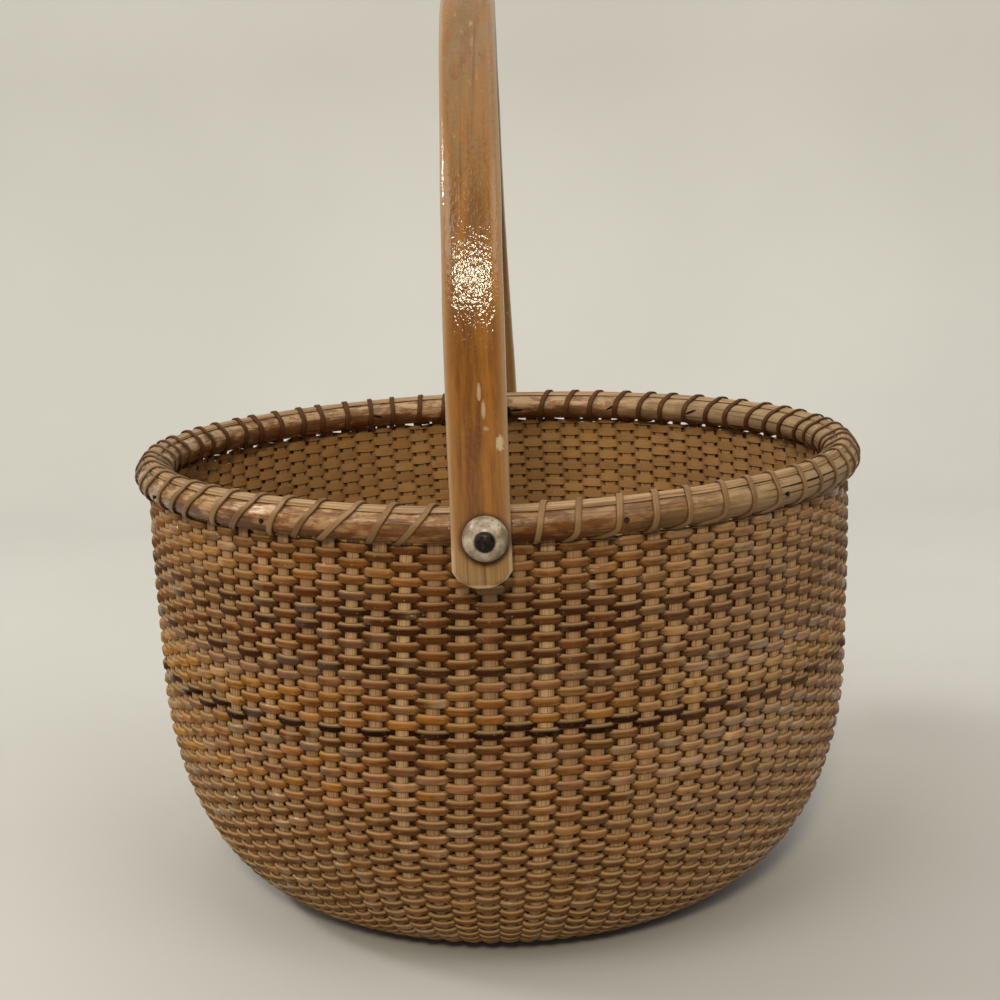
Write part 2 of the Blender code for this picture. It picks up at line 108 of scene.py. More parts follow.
# Outline of the wall
WALL_TO_STAVE_MIDDLE = 0.0023
WALL_RISE = 0.0007
BELLY = 0.0007
SHOULDER_INSET = 0.0006
SHOULDER_HEIGHT = 0.0831
SHOULDER_DRIFT_SHARE = 0.015
FOOT_RADIUS = 0.0740
FOOT_WIDTH = 0.0050
SIDE_PULL_SHARE = 0.727
FLOOR_PULL_SHARE = 0.387

# Base plate
PLATE_CLEARANCE = 0.0006
PLATE_LIFT = 0.0004
PLATE_THICKNESS = 0.0070
PLATE_EDGE_RADIUS = 0.0020
GROOVE_DEPTH = 0.0074
GROOVE_HEIGHT = 0.0023
GROOVE_WIDTH = 0.0017
GROOVE_APPROACH = 0.004
PLATE_CHAMFER = 0.0005
PLUG_RADIUS = 0.0048
PLUG_CROWN = 0.0005

# Rings scribed in the base plate: radius, depth and half width
PLATE_RINGS = ((0.0440, 0.0006, 0.0007), (0.0408, 0.0004, 0.0005))

# Weaver: it swings out over a stave and in under the next, and lies a little higher outside
ROW_PITCH = 0.00252
ROW_OVERLAP_SHARE = 0.03
CROSSING_OVERLAP_SHARE = 1.20
INNER_OVERLAP_SHARE = 0.15
WEAVER_THICKNESS = 0.0009
WEAVER_FOOT_THICKNESS = 0.0008
WEAVER_SWING = 0.00125
WEAVER_FOOT_SWING = 0.0011
WEAVER_LIFT = 0.00008
WEAVER_PEAK_SHARE = 0.54
WEAVER_DIP = 0.0015
WEAVER_TILT = math.radians(9)
WEAVER_SHARP_ANGLE = math.radians(18)
WEAVER_LEAST_WIDTH = 0.0003
WEAVER_TOP_CLEARANCE = 0.0002
WEAVER_FOOT_CLEARANCE = 0.0004

CROSSING_PLACES = (0.0, 0.20, 0.34, 0.43, 0.5, 0.57, 0.66, 0.80)
BAND_COUNT = 6
CANE_STREAK = (0.60, 0.50, 0.40, 1.0)

# How far the weaver strays up and down: over many staves, over a few and at each stave
WEAVER_SWAY = 0.0004
WEAVER_WANDER = 0.00030
WEAVER_JITTER = 0.00008

# Lashing
LASHING_WIDTH = 0.0021
LASHING_THICKNESS = 0.0007
LASHING_STEPS = 40
LASHING_SIDE_COUNT = 31
PIN_ROOM_SHARE = 1.2
LASHING_WORN_ANGLE = -0.9
LASHING_STRAIGHT_ANGLE = math.radians(-32)

# Handle: its places sideways, as it leans, are listed at shares of its length from the front foot
HANDLE_THICKNESS = 0.0056
HANDLE_WIDTH = 0.0176
HANDLE_CROWN_WIDTH = 0.0170
HANDLE_FOOT_CUT = 0.0050
HANDLE_FOOT_SHAPE = ((0.0, 1.0), (0.1, 0.985), (0.55, 0.81), (0.9, 0.52), (1.0, 0.40))
HANDLE_FACET_WIDTH = 0.0034
HANDLE_FACET_DEPTH = 0.0013
HANDLE_BACK_BEVEL = 0.0014
HANDLE_FACE_ROUND = 0.0008
HANDLE_SIDE_ROUND = 0.0002
HANDLE_WANDER = 0.00010
HANDLE_ASIDE = (
    (0.0, -0.0013), (0.25, -0.0016), (0.36, -0.0029), (0.50, -0.0042), (0.64, -0.0056),
    (0.78, -0.0062), (0.88, -0.0050), (0.96, -0.0034), (1.0, -0.0030))

# Pins and knobs
KNOB_CHAMFER = 0.0003
KNOB_EDGE = 0.0008
KNOB_LAND_RADIUS = 0.0031
KNOB_LAND_CHAMFER = 0.0002
KNOB_HOLLOW = 0.0004
PIN_RADIUS = 0.0015
PIN_HEAD_RADIUS = 0.0028
PIN_HEAD_HEIGHT = 0.0011
PIN_TAIL_RADIUS = 0.0022
PIN_TAIL_HEIGHT = 0.0009

# Looks of the rim: from where to where it turns worn, lies high and is shaded by the handle
RIM_WORN_X = (0.015, 0.10)
RIM_HIGH = (-0.003, 0.0045)
RIM_SHADE_X = ((-0.005, 0.012), (0.078, 0.045))
RIM_SHADE_Y = (-0.06, -0.10)
RIM_SHADE = (0.64, 0.54, 0.42, 1.0)

# Slits that the brads made inside the rim: angle round it, height above its middle and lean
SLITS = ((1.525, -0.0006, 0.0), (1.165, 0.0008, -0.45), (0.84, 0.0006, -0.35),
         (2.055, 0.0004, 0.3))
SLIT_LENGTH = 0.0030
SLIT_WIDTH = 0.0006

# Looks of the handle: from where to where it is faded, dull, in front or behind, and the shadow
# painted below its knob
HANDLE_FADED_Z = (0.19, 0.29)
HANDLE_DULL_Z = (0.22, 0.30)
HANDLE_FRONT_Y = (0.0, -0.05)
HANDLE_BEHIND_Y = (0.02, 0.08)
HANDLE_BEHIND = (0.58, 0.64, 0.84, 1.0)
HANDLE_BARE_DROP = 0.0005
HANDLE_BARE_LENGTH = 0.004
KNOB_SHADOW_DROP = 0.0006
KNOB_SHADOW_RADII = (0.0088, 0.0066)
PIN_SHADE_AND_STAIN_RADII = (0.0036, 0.0029)

# Pale scuffs on the handle's front: middle in X and Z, half sizes, seed and strength
SCUFFS = (((-0.0005, 0.1936), (0.0008, 0.0034), 1.3, 0.45),
          ((0.0007, 0.1886), (0.0008, 0.0036), 5.9, 0.45),
          ((0.0050, 0.1790), (0.0016, 0.0032), 2.1, 0.6),
          ((0.0012, 0.1832), (0.0011, 0.0009), 3.7, 0.3))

# Stage: a sheet from its front edge to its bend behind, and up, with painted shade near the
# basket's right and painted light towards the right
FLOOR_SIDE = 2.4
FLOOR_FRONT = -2.2
FLOOR_BEND = 0.62
FLOOR_BEND_RADIUS = 0.35
FLOOR_TOP = 2.4
FLOOR_RIGHT_X = (-0.5, 0.5)
FLOOR_SHADE_Y = (0.34, -0.08)
FLOOR_SHADE_X = (-0.20, 0.16)

# Lamps: name, place, target, size, power in watts and tint
LAMPS = (
    ("left_window", (-1.05, -1.15, 1.70), (0.0, -0.05, 0.15), (1.2, 1.2), 15.5, (1.0, 1.0, 1.0)),
    ("right_window", (1.05, -1.15, 1.70), (0.0, -0.05, 0.15), (1.2, 1.2), 12.0, (1.0, 1.0, 1.0)),
    ("pane", (-0.06, -1.72, 1.24), (0.0, -0.05, 0.15), (0.23, 0.24), 19.0, (1.0, 0.90, 0.68)),
    ("side_pane", (-1.42, -0.02, 1.32), (-0.066, -0.11, 0.155), (0.36, 0.18), 11.0,
     (1.0, 1.0, 1.0)),
    ("ceiling", (0.2, 0.1, 1.9), (0.0, 0.0, 0.1), (1.6, 1.6), 11.0, (1.0, 1.0, 1.0)))
ROOM_LIGHT = 0.31

# Sizes that follow, from the frame where it holds them
wall_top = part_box("woven_wall")[1][2]
hoop_low, hoop_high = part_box("outer_hoop")
hoop_outside = hoop_high[0]
hoop_middle = (hoop_low[2] + hoop_high[2]) / 2
hoop_half_height = (hoop_high[2] - hoop_low[2]) / 2
hoop_thickness = hoop_outside - RIM_RADIUS - HOOP_SPACING / 2
handle_low, handle_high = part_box("handle")
handle_outside = handle_high[1]
handle_radius = handle_outside - HANDLE_THICKNESS / 2
arch_height = handle_high[2] - handle_outside
knob_low, knob_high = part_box("back_knob")
pin_low, pin_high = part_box("back_pin")
pin_line = (knob_low[2] + knob_high[2]) / 2
stave_pitch = math.tau / STAVE_COUNT
gap_phase_share = STAVE_PHASE_SHARE + 0.5
plate_radius = FOOT_RADIUS - FOOT_WIDTH - PLATE_CLEARANCE
plate_top = PLATE_LIFT + PLATE_THICKNESS


# Meshes: everything long is a section carried along a row of stations

def unit(vectors):
    return vectors / np.linalg.norm(vectors, axis=-1, keepdims=True)


def arc_length(points):
    steps = np.linalg.norm(np.diff(points, axis=0), axis=1)
    return np.concatenate(([0.0], np.cumsum(steps)))


class Strips:
    """Gathers swept strips into one mesh, with fibre coordinates in metres and a map in rows."""

    def __init__(self, rows):
        self.rows = rows
        self.count = 0
        self.points = []
        self.corners = []
        self.sizes = []
        self.fibre = []
        self.layout = []
        self.values = {}

    def add(self, centres, across, outward, section, first_row=0, turns=1, ring=False,
            start=0.0, **values):
        """One strip. The section runs anticlockwise, and has a shape of its own at each station."""
        n, k = section.shape[:2]
        points = (centres[:, None] + across[:, None] * section[..., :1]
                  + outward[:, None] * section[..., 1:])
        self.points.append(points.reshape(-1, 3))
        for name, value in values.items():
            wide = np.broadcast_to(value, (n, k) + np.shape(value)[2:])
            self.values.setdefault(name, []).append(wide.reshape((n * k,) + wide.shape[2:]))
        along = arc_length(np.vstack((centres, centres[:1])) if ring else centres) + start
        outline = section[n // 2]
        around = arc_length(np.vstack((outline, outline[:1])))
        count = n if ring else n - 1
        i = np.arange(count)[:, None, None]
        j = np.arange(k)[None, :, None]
        ahead = np.array((0, 0, 1, 1))
        aside = np.array((0, 1, 1, 0))
        quads = (i + ahead) % n * k + (j + aside) % k + self.count
        fibre_map = np.broadcast_arrays(along[i + ahead], around[j + aside])
        place = first_row + turns * i / count
        row = np.floor(place + 1e-6)
        inner = (1 - 2 * MAP_MARGIN_SHARE) * fibre_map[1] / around[-1]
        layout = np.broadcast_arrays(place - row + turns / count * ahead,
                                     (row + MAP_MARGIN_SHARE + inner) / self.rows)
        facing = np.einsum("ij,ij->i", np.cross(across, outward), np.gradient(centres, axis=0))
        turn = 1 if facing.mean() > 0 else -1
        self.corners.append(quads[:, :, ::turn].ravel())
        for store, found in ((self.fibre, fibre_map), (self.layout, layout)):
            store.append(np.stack(found, -1)[:, :, ::turn].reshape(-1, 2))
        self.sizes.append(np.full(count * k, 4))
        if not ring:
            circle = radial(math.tau * np.arange(k) / k)[:, :2]
            for end, way in ((0, -turn), (n - 1, turn)):
                spot = (row[min(end, count - 1), 0, 0] + 0.5) / self.rows
                self.corners.append((np.arange(k) + end * k + self.count)[::way])
                self.fibre.append(np.stack((np.full(k, along[end]), around[:-1]), -1))
                self.layout.append(MAP_SPOT * circle + (2 * MAP_SPOT, spot))
                self.sizes.append(np.array((k,)))
        self.count += n * k

    def build(self, name, material, slot, body, stands_for=(), settle=False,
              sharp=SMOOTH_ANGLE):
        mesh = bpy.data.meshes.new(name)
        points = np.concatenate(self.points)
        points = settled(points) if settle else points
        corners = np.concatenate(self.corners)
        sizes = np.concatenate(self.sizes)
        mesh.vertices.add(len(points))
        mesh.vertices.foreach_set("co", points.astype(np.float32).ravel())
        mesh.loops.add(len(corners))
        mesh.loops.foreach_set("vertex_index", corners.astype(np.int32))
        mesh.polygons.add(len(sizes))
        mesh.polygons.foreach_set("loop_start", (np.cumsum(sizes) - sizes).astype(np.int32))
        mesh.update(calc_edges=True)
        for layer, found in (("fibre", self.fibre), ("OFBake", self.layout)):
            uv = mesh.uv_layers.new(name=layer)
            uv.data.foreach_set("uv", np.concatenate(found).astype(np.float32).ravel())
        for key, found in self.values.items():
            found = np.concatenate(found).astype(np.float32)
            if found.ndim == 1:
                mesh.attributes.new(key, "FLOAT", "POINT").data.foreach_set("value", found)
            else:
                layer = mesh.color_attributes.new(key, "FLOAT_COLOR", "POINT")
                layer.data.foreach_set("color", found.ravel())
        mesh.shade_smooth()
        mesh.set_sharp_from_angle(angle=sharp)
        return dress(name, mesh, material, body, stands_for)


def add_object(name, data):
    item = bpy.data.objects.new(name, data)
    bpy.context.scene.collection.objects.link(item)
    return item


def dress(name, mesh, material, body, stands_for=()):
    """An object of the scene with its material, which rides on a body."""
    item = add_object(name, mesh)
    mesh.materials.append(material)
    if stands_for:
        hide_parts(*stands_for)
    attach(item, body)
    return item


def eased(share):
    share = np.clip(share, 0.0, 1.0)
    return share * share * (3 - 2 * share)


def angle_between(angle, other):
    """The angle less another, from -pi to pi."""
    return np.mod(angle - other + math.pi, math.tau) - math.pi


def wave(places, seed):
    """Smooth noise about zero, with one random value for each whole number of places."""
    values = np.random.default_rng(seed).uniform(-1.0, 1.0, int(np.max(places)) + 3)
    whole = np.floor(places).astype(int)
    share = eased(places - whole)
    return values[whole] * (1 - share) + values[whole + 1] * share


def ring_wave(angles, count, seed, rows=0.0, row_count=0):
    """Smooth noise about zero that closes on itself, with count random values in a turn.

    With rows it changes from row to row as well, and has row_count sets of random values.
    """
    values = np.random.default_rng(seed).uniform(-1.0, 1.0, (row_count + 2, count))
    places = np.mod(angles / math.tau, 1.0) * count
    whole = np.floor(places).astype(int)
    share = eased(places - whole)
    low = np.floor(rows * np.ones_like(places)).astype(int)
    up = eased(rows - low)
    sets = [values[level, whole % count] * (1 - share)
            + values[level, (whole + 1) % count] * share for level in (low, low + 1)]
    return sets[0] * (1 - up) + sets[1] * up


def radial(angles):
    return np.stack((np.cos(angles), np.sin(angles), np.zeros_like(angles)), -1)


# Materials

def connect(tree, value, socket):
    if isinstance(value, bpy.types.NodeSocket):
        tree.links.new(value, socket)
    else:
        socket.default_value = value


def connect_all(tree, item, inputs):
    """Numbers, colours or other nodes' sockets into a node's inputs, named with _ for a space."""
    for key, value in inputs.items():
        connect(tree, value, item.inputs[key.replace("_", " ")])


def add_node(tree, kind, settings=None, **inputs):
    item = tree.nodes.new(kind)
    for key, value in (settings or {}).items():
        setattr(item, key, value)
    connect_all(tree, item, inputs)
    return item


def mix(tree, factor, first, second, blend="MIX"):
    item = add_node(tree, "ShaderNodeMix", {
        "data_type": "RGBA", "blend_type": blend, "clamp_factor": True})
    for number, value in ((0, factor), (6, first), (7, second)):
        connect(tree, value, item.inputs[number])
    return item.outputs[2]


def calc(tree, operation, *values):
    item = add_node(tree, "ShaderNodeMath", {"operation": operation})
    for value, socket in zip(values, item.inputs):
        connect(tree, value, socket)
    return item.outputs[0]


def times(tree, first, second):
    return calc(tree, "MULTIPLY", first, second)


def less(tree, first, second):
    return calc(tree, "SUBTRACT", first, second)


def squared_share(tree, value, half):
    """The square of the value's share of a half size."""
    share = calc(tree, "DIVIDE", value, half)
    return times(tree, share, share)


def remap(tree, value, low, high, new_low=0.0, new_high=1.0):
    item = add_node(tree, "ShaderNodeMapRange", {"interpolation_type": "SMOOTHSTEP"})
    for socket, number in zip(item.inputs, (value, low, high, new_low, new_high)):
        connect(tree, number, socket)
    return item.outputs[0]


def stain(tree, colour, tone, value, low, high, most=1.0):
    """The colour, turning to a tone by up to the share most as the value goes from low to high."""
    return mix(tree, remap(tree, value, low, high, 0.0, most), colour, tone)


def noise(tree, vector, scale, detail=3.0, rough=0.55):
    return add_node(tree, "ShaderNodeTexNoise", Vector=vector, Scale=scale, Detail=detail,
                    Roughness=rough).outputs["Fac"]


def scaled(tree, vector, scale):
    item = add_node(tree, "ShaderNodeVectorMath", {"operation": "MULTIPLY"}, Vector=vector)
    item.inputs[1].default_value = scale
    return item.outputs[0]


def fibre(tree, along, around):
    """Fibre coordinates, in cells of 1/along and 1/around metres."""
    uv = add_node(tree, "ShaderNodeUVMap", {"uv_map": "fibre"}).outputs[0]
    return scaled(tree, uv, (along, around, 1.0))


def fibre_noise(tree, along, around, detail=3.0, rough=0.55, scale=1.0):
    return noise(tree, fibre(tree, along, around), scale, detail, rough)


def attribute(tree, name, kind="Fac"):
    return add_node(tree, "ShaderNodeAttribute", {"attribute_name": name}).outputs[kind]


def object_place(tree):
    return tree.nodes.new("ShaderNodeTexCoord").outputs["Object"]


def axes(tree):
    """The sockets of a place's X, Y and Z."""
    return add_node(tree, "ShaderNodeSeparateXYZ", Vector=object_place(tree)).outputs


def pin_distance(tree, place, height):
    """How far a place lies, seen from the front, from a height on the basket's middle."""
    flat = add_node(tree, "ShaderNodeCombineXYZ", X=place["X"], Z=less(tree, place["Z"], height))
    return add_node(tree, "ShaderNodeVectorMath", {"operation": "LENGTH"},
                    Vector=flat.outputs[0]).outputs["Value"]


def bump(tree, height, distance, strength=1.0, normal=None):
    item = add_node(tree, "ShaderNodeBump", Height=height, Distance=distance, Strength=strength)
    if normal is not None:
        connect(tree, normal, item.inputs["Normal"])
    return item.outputs[0]


def start_material(name):
    material = bpy.data.materials.new(name)
    material.use_nodes = True
    return material, material.node_tree


def surface(material, **inputs):
    """The finished material, with its surface's inputs named with _ for a space."""
    tree = material.node_tree
    connect_all(tree, tree.nodes["Principled BSDF"], inputs)
    return material


def rgb(red, green, blue):
    """A colour given as it shows on screen, 0 to 255, as the linear values that shaders take."""
    def linear(value):
        share = value / 255
        return share / 12.92 if share <= 0.04045 else ((share + 0.055) / 1.055) ** 2.4
    return (linear(red), linear(green), linear(blue), 1.0)


def cane_material():
    """The weaver: its tint, with painted light and shade in it, comes from the piece, streaks run
    along it, its upper edges are pale, partly worn and partly a painted highlight, and its tucks
    hold painted shade and dirt.
    """
    material, tree = start_material("woven_cane")
    streaks = fibre_noise(tree, 110.0, 1500.0, 4.0, 0.7)
    blotches = fibre_noise(tree, 190.0, 260.0, 4.0)
    worn = fibre_noise(tree, 260.0, 520.0, 4.0, 0.6, 3.0)
    inside, glow = (attribute(tree, name) for name in ("inside", "glow"))
    colour = mix(tree, remap(tree, streaks, 0.38, 0.66), attribute(tree, "tint", "Color"),
                 CANE_STREAK, "MULTIPLY")
    colour = stain(tree, colour, rgb(62, 34, 17), blotches, 0.52, 0.75, 0.55)
    colour = stain(tree, colour, rgb(176, 150, 118), worn, 0.62, 0.72, 0.45)
    colour = mix(tree, times(tree, inside, 0.72), colour, rgb(158, 118, 70))
    # Pale upper edges: partly worn, partly a painted highlight where they face the light
    colour = mix(tree, times(tree, attribute(tree, "edge"), 0.42), colour, rgb(190, 156, 112))
    # Painted shade and dirt in the tucks: the weaver darkens where it passes in behind the staves
    # and its neighbours
    tuck_shade_and_dirt = times(tree, attribute(tree, "tuck"), remap(tree, inside, 0.0, 1.0, 0.8, 0.7))
    colour = mix(tree, tuck_shade_and_dirt, colour, rgb(50, 26, 13))
    rough = less(tree, remap(tree, blotches, 0.3, 0.7, 0.50, 0.68), times(tree, glow, 0.42))
    return surface(
        material, Base_Color=colour, Roughness=rough, Normal=bump(tree, streaks, 0.00026),
        Specular_IOR_Level=remap(tree, glow, 0.0, 1.0, 0.08, 0.8),
        Specular_Tint=rgb(255, 222, 184))


def stave_material():
    material, tree = start_material("stave_rattan")
    lines = fibre_noise(tree, 18.0, 3400.0, 2.0, 0.6)
    blotches = fibre_noise(tree, 60.0, 90.0)
    colour = mix(tree, attribute(tree, "tone"), rgb(178, 142, 100), rgb(140, 104, 70))
    colour = stain(tree, colour, rgb(84, 54, 32), lines, 0.45, 0.62, 0.65)
    colour = stain(tree, colour, rgb(112, 76, 48), blotches, 0.5, 0.8, 0.6)
    colour = mix(tree, times(tree, attribute(tree, "inside"), 0.7), colour, rgb(148, 110, 64))
    return surface(material, Base_Color=colour, Roughness=0.62, Specular_IOR_Level=0.2,
                   Normal=bump(tree, lines, 0.00012, 0.8))


def slit_mask(tree, place, angle, height, lean):
    """1 inside a narrow slanted slit in the rim, at an angle and a height above its middle."""
    turn = calc(tree, "ARCTAN2", place["Y"], place["X"])
    along = times(tree, less(tree, turn, angle), RIM_RADIUS)
    slant = less(tree, less(tree, place["Z"], hoop_middle + height), times(tree, along, lean))
    far = calc(tree, "ADD", squared_share(tree, along, SLIT_LENGTH),
               squared_share(tree, slant, SLIT_WIDTH))
    return remap(tree, far, 1.2, 0.6)


def hoop_material():
    """Split hoop wood: stained and glossy on the left, worn grey and dry on the right."""
    material, tree = start_material("hoop_wood")
    place = axes(tree)
    worn = remap(tree, place["X"], *RIM_WORN_X)
    high = remap(tree, less(tree, place["Z"], hoop_middle), *RIM_HIGH)
    low = less(tree, 1.0, high)
    streaks = fibre_noise(tree, 14.0, 900.0, 5.0, 0.7)
    dark = fibre_noise(tree, 34.0, 220.0, 4.0, 0.62)
    mottle = fibre_noise(tree, 120.0, 330.0, 4.0, 0.66)
    split = fibre_noise(tree, 9.0, 1300.0, 2.0, 0.5)
    colour = stain(tree, rgb(168, 136, 98), rgb(116, 78, 44), mottle, 0.42, 0.58)
    colour = mix(tree, times(tree, low, 0.55), colour, rgb(112, 64, 24))
    dark = less(tree, dark, times(tree, high, 0.17))
    colour = stain(tree, colour, rgb(78, 43, 18), dark, 0.40, 0.50, 0.8)
    colour = mix(tree, times(tree, worn, 0.75), colour, rgb(146, 122, 90))
    colour = stain(tree, colour, rgb(80, 52, 28), streaks, 0.5, 0.7, 0.7)
    crack = times(tree, remap(tree, split, 0.60, 0.66), calc(tree, "ADD", worn, 0.25))
    colour = mix(tree, crack, colour, rgb(36, 22, 13))
    shade = remap(tree, place["Y"], *RIM_SHADE_Y)
    for ends in RIM_SHADE_X:
        shade = times(tree, shade, remap(tree, place["X"], *ends))
    colour = mix(tree, shade, colour, RIM_SHADE, "MULTIPLY")
    for slit in SLITS:
        colour = mix(tree, slit_mask(tree, place, *slit), colour, rgb(24, 12, 8))
    rough = calc(tree, "ADD", remap(tree, mottle, 0.3, 0.7, 0.05, 0.26), times(tree, worn, 0.3))
    gloss = times(tree, remap(tree, worn, 0.0, 1.0, 0.6, 0.2),
                  less(tree, 1.0, times(tree, low, 0.8)))
    uneven = bump(tree, mottle, 0.0004, 0.7)
    return surface(
        material, Base_Color=colour, Roughness=rough, Specular_IOR_Level=gloss,
        Specular_Tint=rgb(255, 236, 210), Normal=bump(tree, streaks, 0.0003, 0.7, uneven))


def filler_material():
    material, tree = start_material("filler_strip")
    streaks = fibre_noise(tree, 20.0, 1600.0, 4.0, 0.65)
    blotches = fibre_noise(tree, 40.0, 60.0)
    colour = stain(tree, rgb(164, 130, 88), rgb(104, 72, 42), streaks, 0.4, 0.65)
    colour = stain(tree, colour, rgb(118, 84, 50), blotches, 0.5, 0.7, 0.5)
    return surface(material, Base_Color=colour, Roughness=0.5,
                   Normal=bump(tree, streaks, 0.0002, 0.8))


def lashing_material():
    material, tree = start_material("lashing_cane")
    streaks = fibre_noise(tree, 60.0, 2400.0, 3.0, 0.6)
    tone = fibre_noise(tree, 22.0, 0.0, 2.0)
    stained = attribute(tree, "stain")
    colour = stain(tree, rgb(134, 102, 66), rgb(106, 75, 44), tone, 0.35, 0.65)
    colour = mix(tree, times(tree, stained, 0.85), colour, rgb(66, 34, 14))
    colour = stain(tree, colour, rgb(76, 46, 24), streaks, 0.5, 0.7, 0.5)
    # Painted shade: darker on the strand's underside and sides, and a little at its corners and
    # middle groove
    colour = mix(tree, times(tree, attribute(tree, "edge"), 0.6), colour, rgb(46, 25, 12))
    return surface(
        material, Base_Color=colour, Roughness=0.42, Normal=bump(tree, streaks, 0.00014, 0.8),
        Specular_IOR_Level=remap(tree, stained, 0.0, 1.0, 0.4, 0.12),
        Specular_Tint=rgb(255, 232, 204))


def patch_mask(tree, place, centre, size, seed):
    """1 inside a ragged patch of the handle's front, given in X and Z."""
    ragged = times(tree, fibre_noise(tree, 500.0, 900.0, scale=seed), 1.6)
    sides = [squared_share(tree, less(tree, place[axis], middle), half)
             for axis, middle, half in zip("XZ", centre, size)]
    far = calc(tree, "ADD", calc(tree, "ADD", *sides), ragged)
    return times(tree, remap(tree, far, 1.5, 1.0), remap(tree, place["Y"], *HANDLE_FRONT_Y))


def handle_material():
    """Varnished bentwood: crackled, faded at the crown, bare at the feet, scuffed in front, with a
    painted shadow below the knob.
    """
    material, tree = start_material("handle_varnish")
    place = axes(tree)
    along = add_node(tree, "ShaderNodeSeparateXYZ", Vector=fibre(tree, 1.0, 1.0)).outputs["X"]
    board = add_node(tree, "ShaderNodeCombineXYZ", X=along, Y=place["X"]).outputs[0]
    grain, figure, mottle, spots, ripple = (
        noise(tree, scaled(tree, board, (long, wide, 1.0)), 1.0, detail, rough)
        for long, wide, detail, rough in (
            (9.0, 620.0, 5.0, 0.68), (16.0, 150.0, 5.0, 0.66), (70.0, 260.0, 4.0, 0.6),
            (120.0, 420.0, 3.0, 0.6), (520.0, 760.0, 2.5, 0.6)))
    edge, rim, bare = (attribute(tree, name) for name in ("edge", "rim", "bare"))
    colour = stain(tree, rgb(138, 88, 28), rgb(96, 54, 14), figure, 0.38, 0.62)
    faded = times(tree, remap(tree, place["Z"], *HANDLE_FADED_Z),
                  remap(tree, mottle, 0.4, 0.6, 0.45, 0.9))
    colour = mix(tree, faded, colour, rgb(116, 88, 50))
    for tone, low, high, most in ((rgb(150, 124, 88), 0.60, 0.70, 0.8),
                                  (rgb(78, 46, 20), 0.36, 0.30, 0.7)):
        spotted = times(tree, faded, remap(tree, spots, low, high, 0.0, most))
        colour = mix(tree, spotted, colour, tone)
    behind = remap(tree, place["Y"], *HANDLE_BEHIND_Y)
    colour = mix(tree, behind, colour, HANDLE_BEHIND, "MULTIPLY")
    colour = stain(tree, colour, rgb(70, 38, 13), grain, 0.52, 0.75, 0.6)
    side = mix(tree, faded, rgb(150, 108, 62), rgb(134, 102, 74))
    colour = mix(tree, times(tree, edge, 0.6), colour, side)
    colour = mix(tree, times(tree, rim, 0.6), colour, rgb(168, 144, 112))
    wood = stain(tree, rgb(150, 120, 82), rgb(106, 78, 50), grain, 0.4, 0.7)
    colour = mix(tree, times(tree, bare, 0.85), colour, wood)
    colour = mix(tree, times(tree, bare, times(tree, rim, 0.8)), colour, rgb(186, 158, 122))
    # Painted shadow: a dark ring round the knob, set a little low so that it falls below it
    around_knob = pin_distance(tree, place, pin_line - KNOB_SHADOW_DROP)
    colour = stain(tree, colour, rgb(52, 26, 10), around_knob, *KNOB_SHADOW_RADII, 0.8)
    scuffs = fibre_noise(tree, 130.0, 420.0, 3.0, 0.6)
    colour = stain(tree, colour, rgb(186, 172, 150), scuffs, 0.70, 0.76, 0.6)
    for centre, size, seed, share in SCUFFS:
        mask = times(tree, patch_mask(tree, place, centre, size, seed), share)
        colour = mix(tree, mask, colour, rgb(196, 180, 150))
    varnish = times(tree, less(tree, 1.0, bare), remap(tree, place["Z"], *HANDLE_DULL_Z, 1.0, 0.35))
    crackle = bump(tree, ripple, 0.00024)
    return surface(
        material, Base_Color=colour, Roughness=calc(tree, "ADD", 0.30, times(tree, bare, 0.3)),
        Normal=bump(tree, grain, 0.00012, 0.6, crackle), Specular_IOR_Level=0.08,
        Specular_Tint=rgb(255, 226, 186), Coat_Weight=times(tree, varnish, 0.8),
        Coat_Roughness=0.04, Coat_Normal=crackle)


def bone_material():
    material, tree = start_material("bone")
    cloud = noise(tree, object_place(tree), 240.0, 4.0)
    blush = noise(tree, object_place(tree), 130.0, 2.0)
    specks = noise(tree, object_place(tree), 1400.0)
    colour = stain(tree, rgb(170, 158, 136), rgb(112, 97, 76), cloud, 0.35, 0.65)
    colour = stain(tree, colour, rgb(156, 112, 92), blush, 0.5, 0.68, 0.5)
    colour = stain(tree, colour, rgb(66, 52, 40), specks, 0.6, 0.68, 0.85)
    # A dark ring round the pin head: painted shade in the groove about the head, and stain
    around_pin = pin_distance(tree, axes(tree), pin_line)
    colour = stain(tree, colour, rgb(58, 44, 32), around_pin, *PIN_SHADE_AND_STAIN_RADII, 0.7)
    return surface(material, Base_Color=colour, Roughness=0.32,
                   Normal=bump(tree, cloud, 0.0002, 0.4))


def metal_material():
    material, tree = start_material("dark_metal")
    cloud = noise(tree, object_place(tree), 900.0)
    return surface(
        material, Base_Color=stain(tree, rgb(11, 9, 8), rgb(50, 34, 22), cloud, 0.45, 0.75),
        Roughness=remap(tree, cloud, 0.3, 0.7, 0.20, 0.6), Specular_IOR_Level=0.16,
        Normal=bump(tree, cloud, 0.0003, 0.8))


def plate_material():
    material, tree = start_material("base_wood")
    grain = noise(tree, scaled(tree, object_place(tree), (1.0, 14.0, 14.0)), 26.0, 5.0, 0.65)
    turning = fibre_noise(tree, 0.0, 2500.0, 2.0)
    return surface(
        material, Roughness=0.42,
        Base_Color=stain(tree, rgb(150, 104, 60), rgb(104, 64, 34), grain, 0.38, 0.66),
        Normal=bump(tree, turning, 0.0001, 0.3, bump(tree, grain, 0.0002, 0.4)))


# Wall: its outline, from the top edge down to the base plate

def bezier(first, second, third, last, count):
    t = np.linspace(0.0, 1.0, count)[:, None]
    points = [np.array(p) for p in (first, second, third, last)]
    weights = ((1 - t) ** 3, 3 * t * (1 - t) ** 2, 3 * t * t * (1 - t), t ** 3)
    return sum(weight * point for weight, point in zip(weights, points))


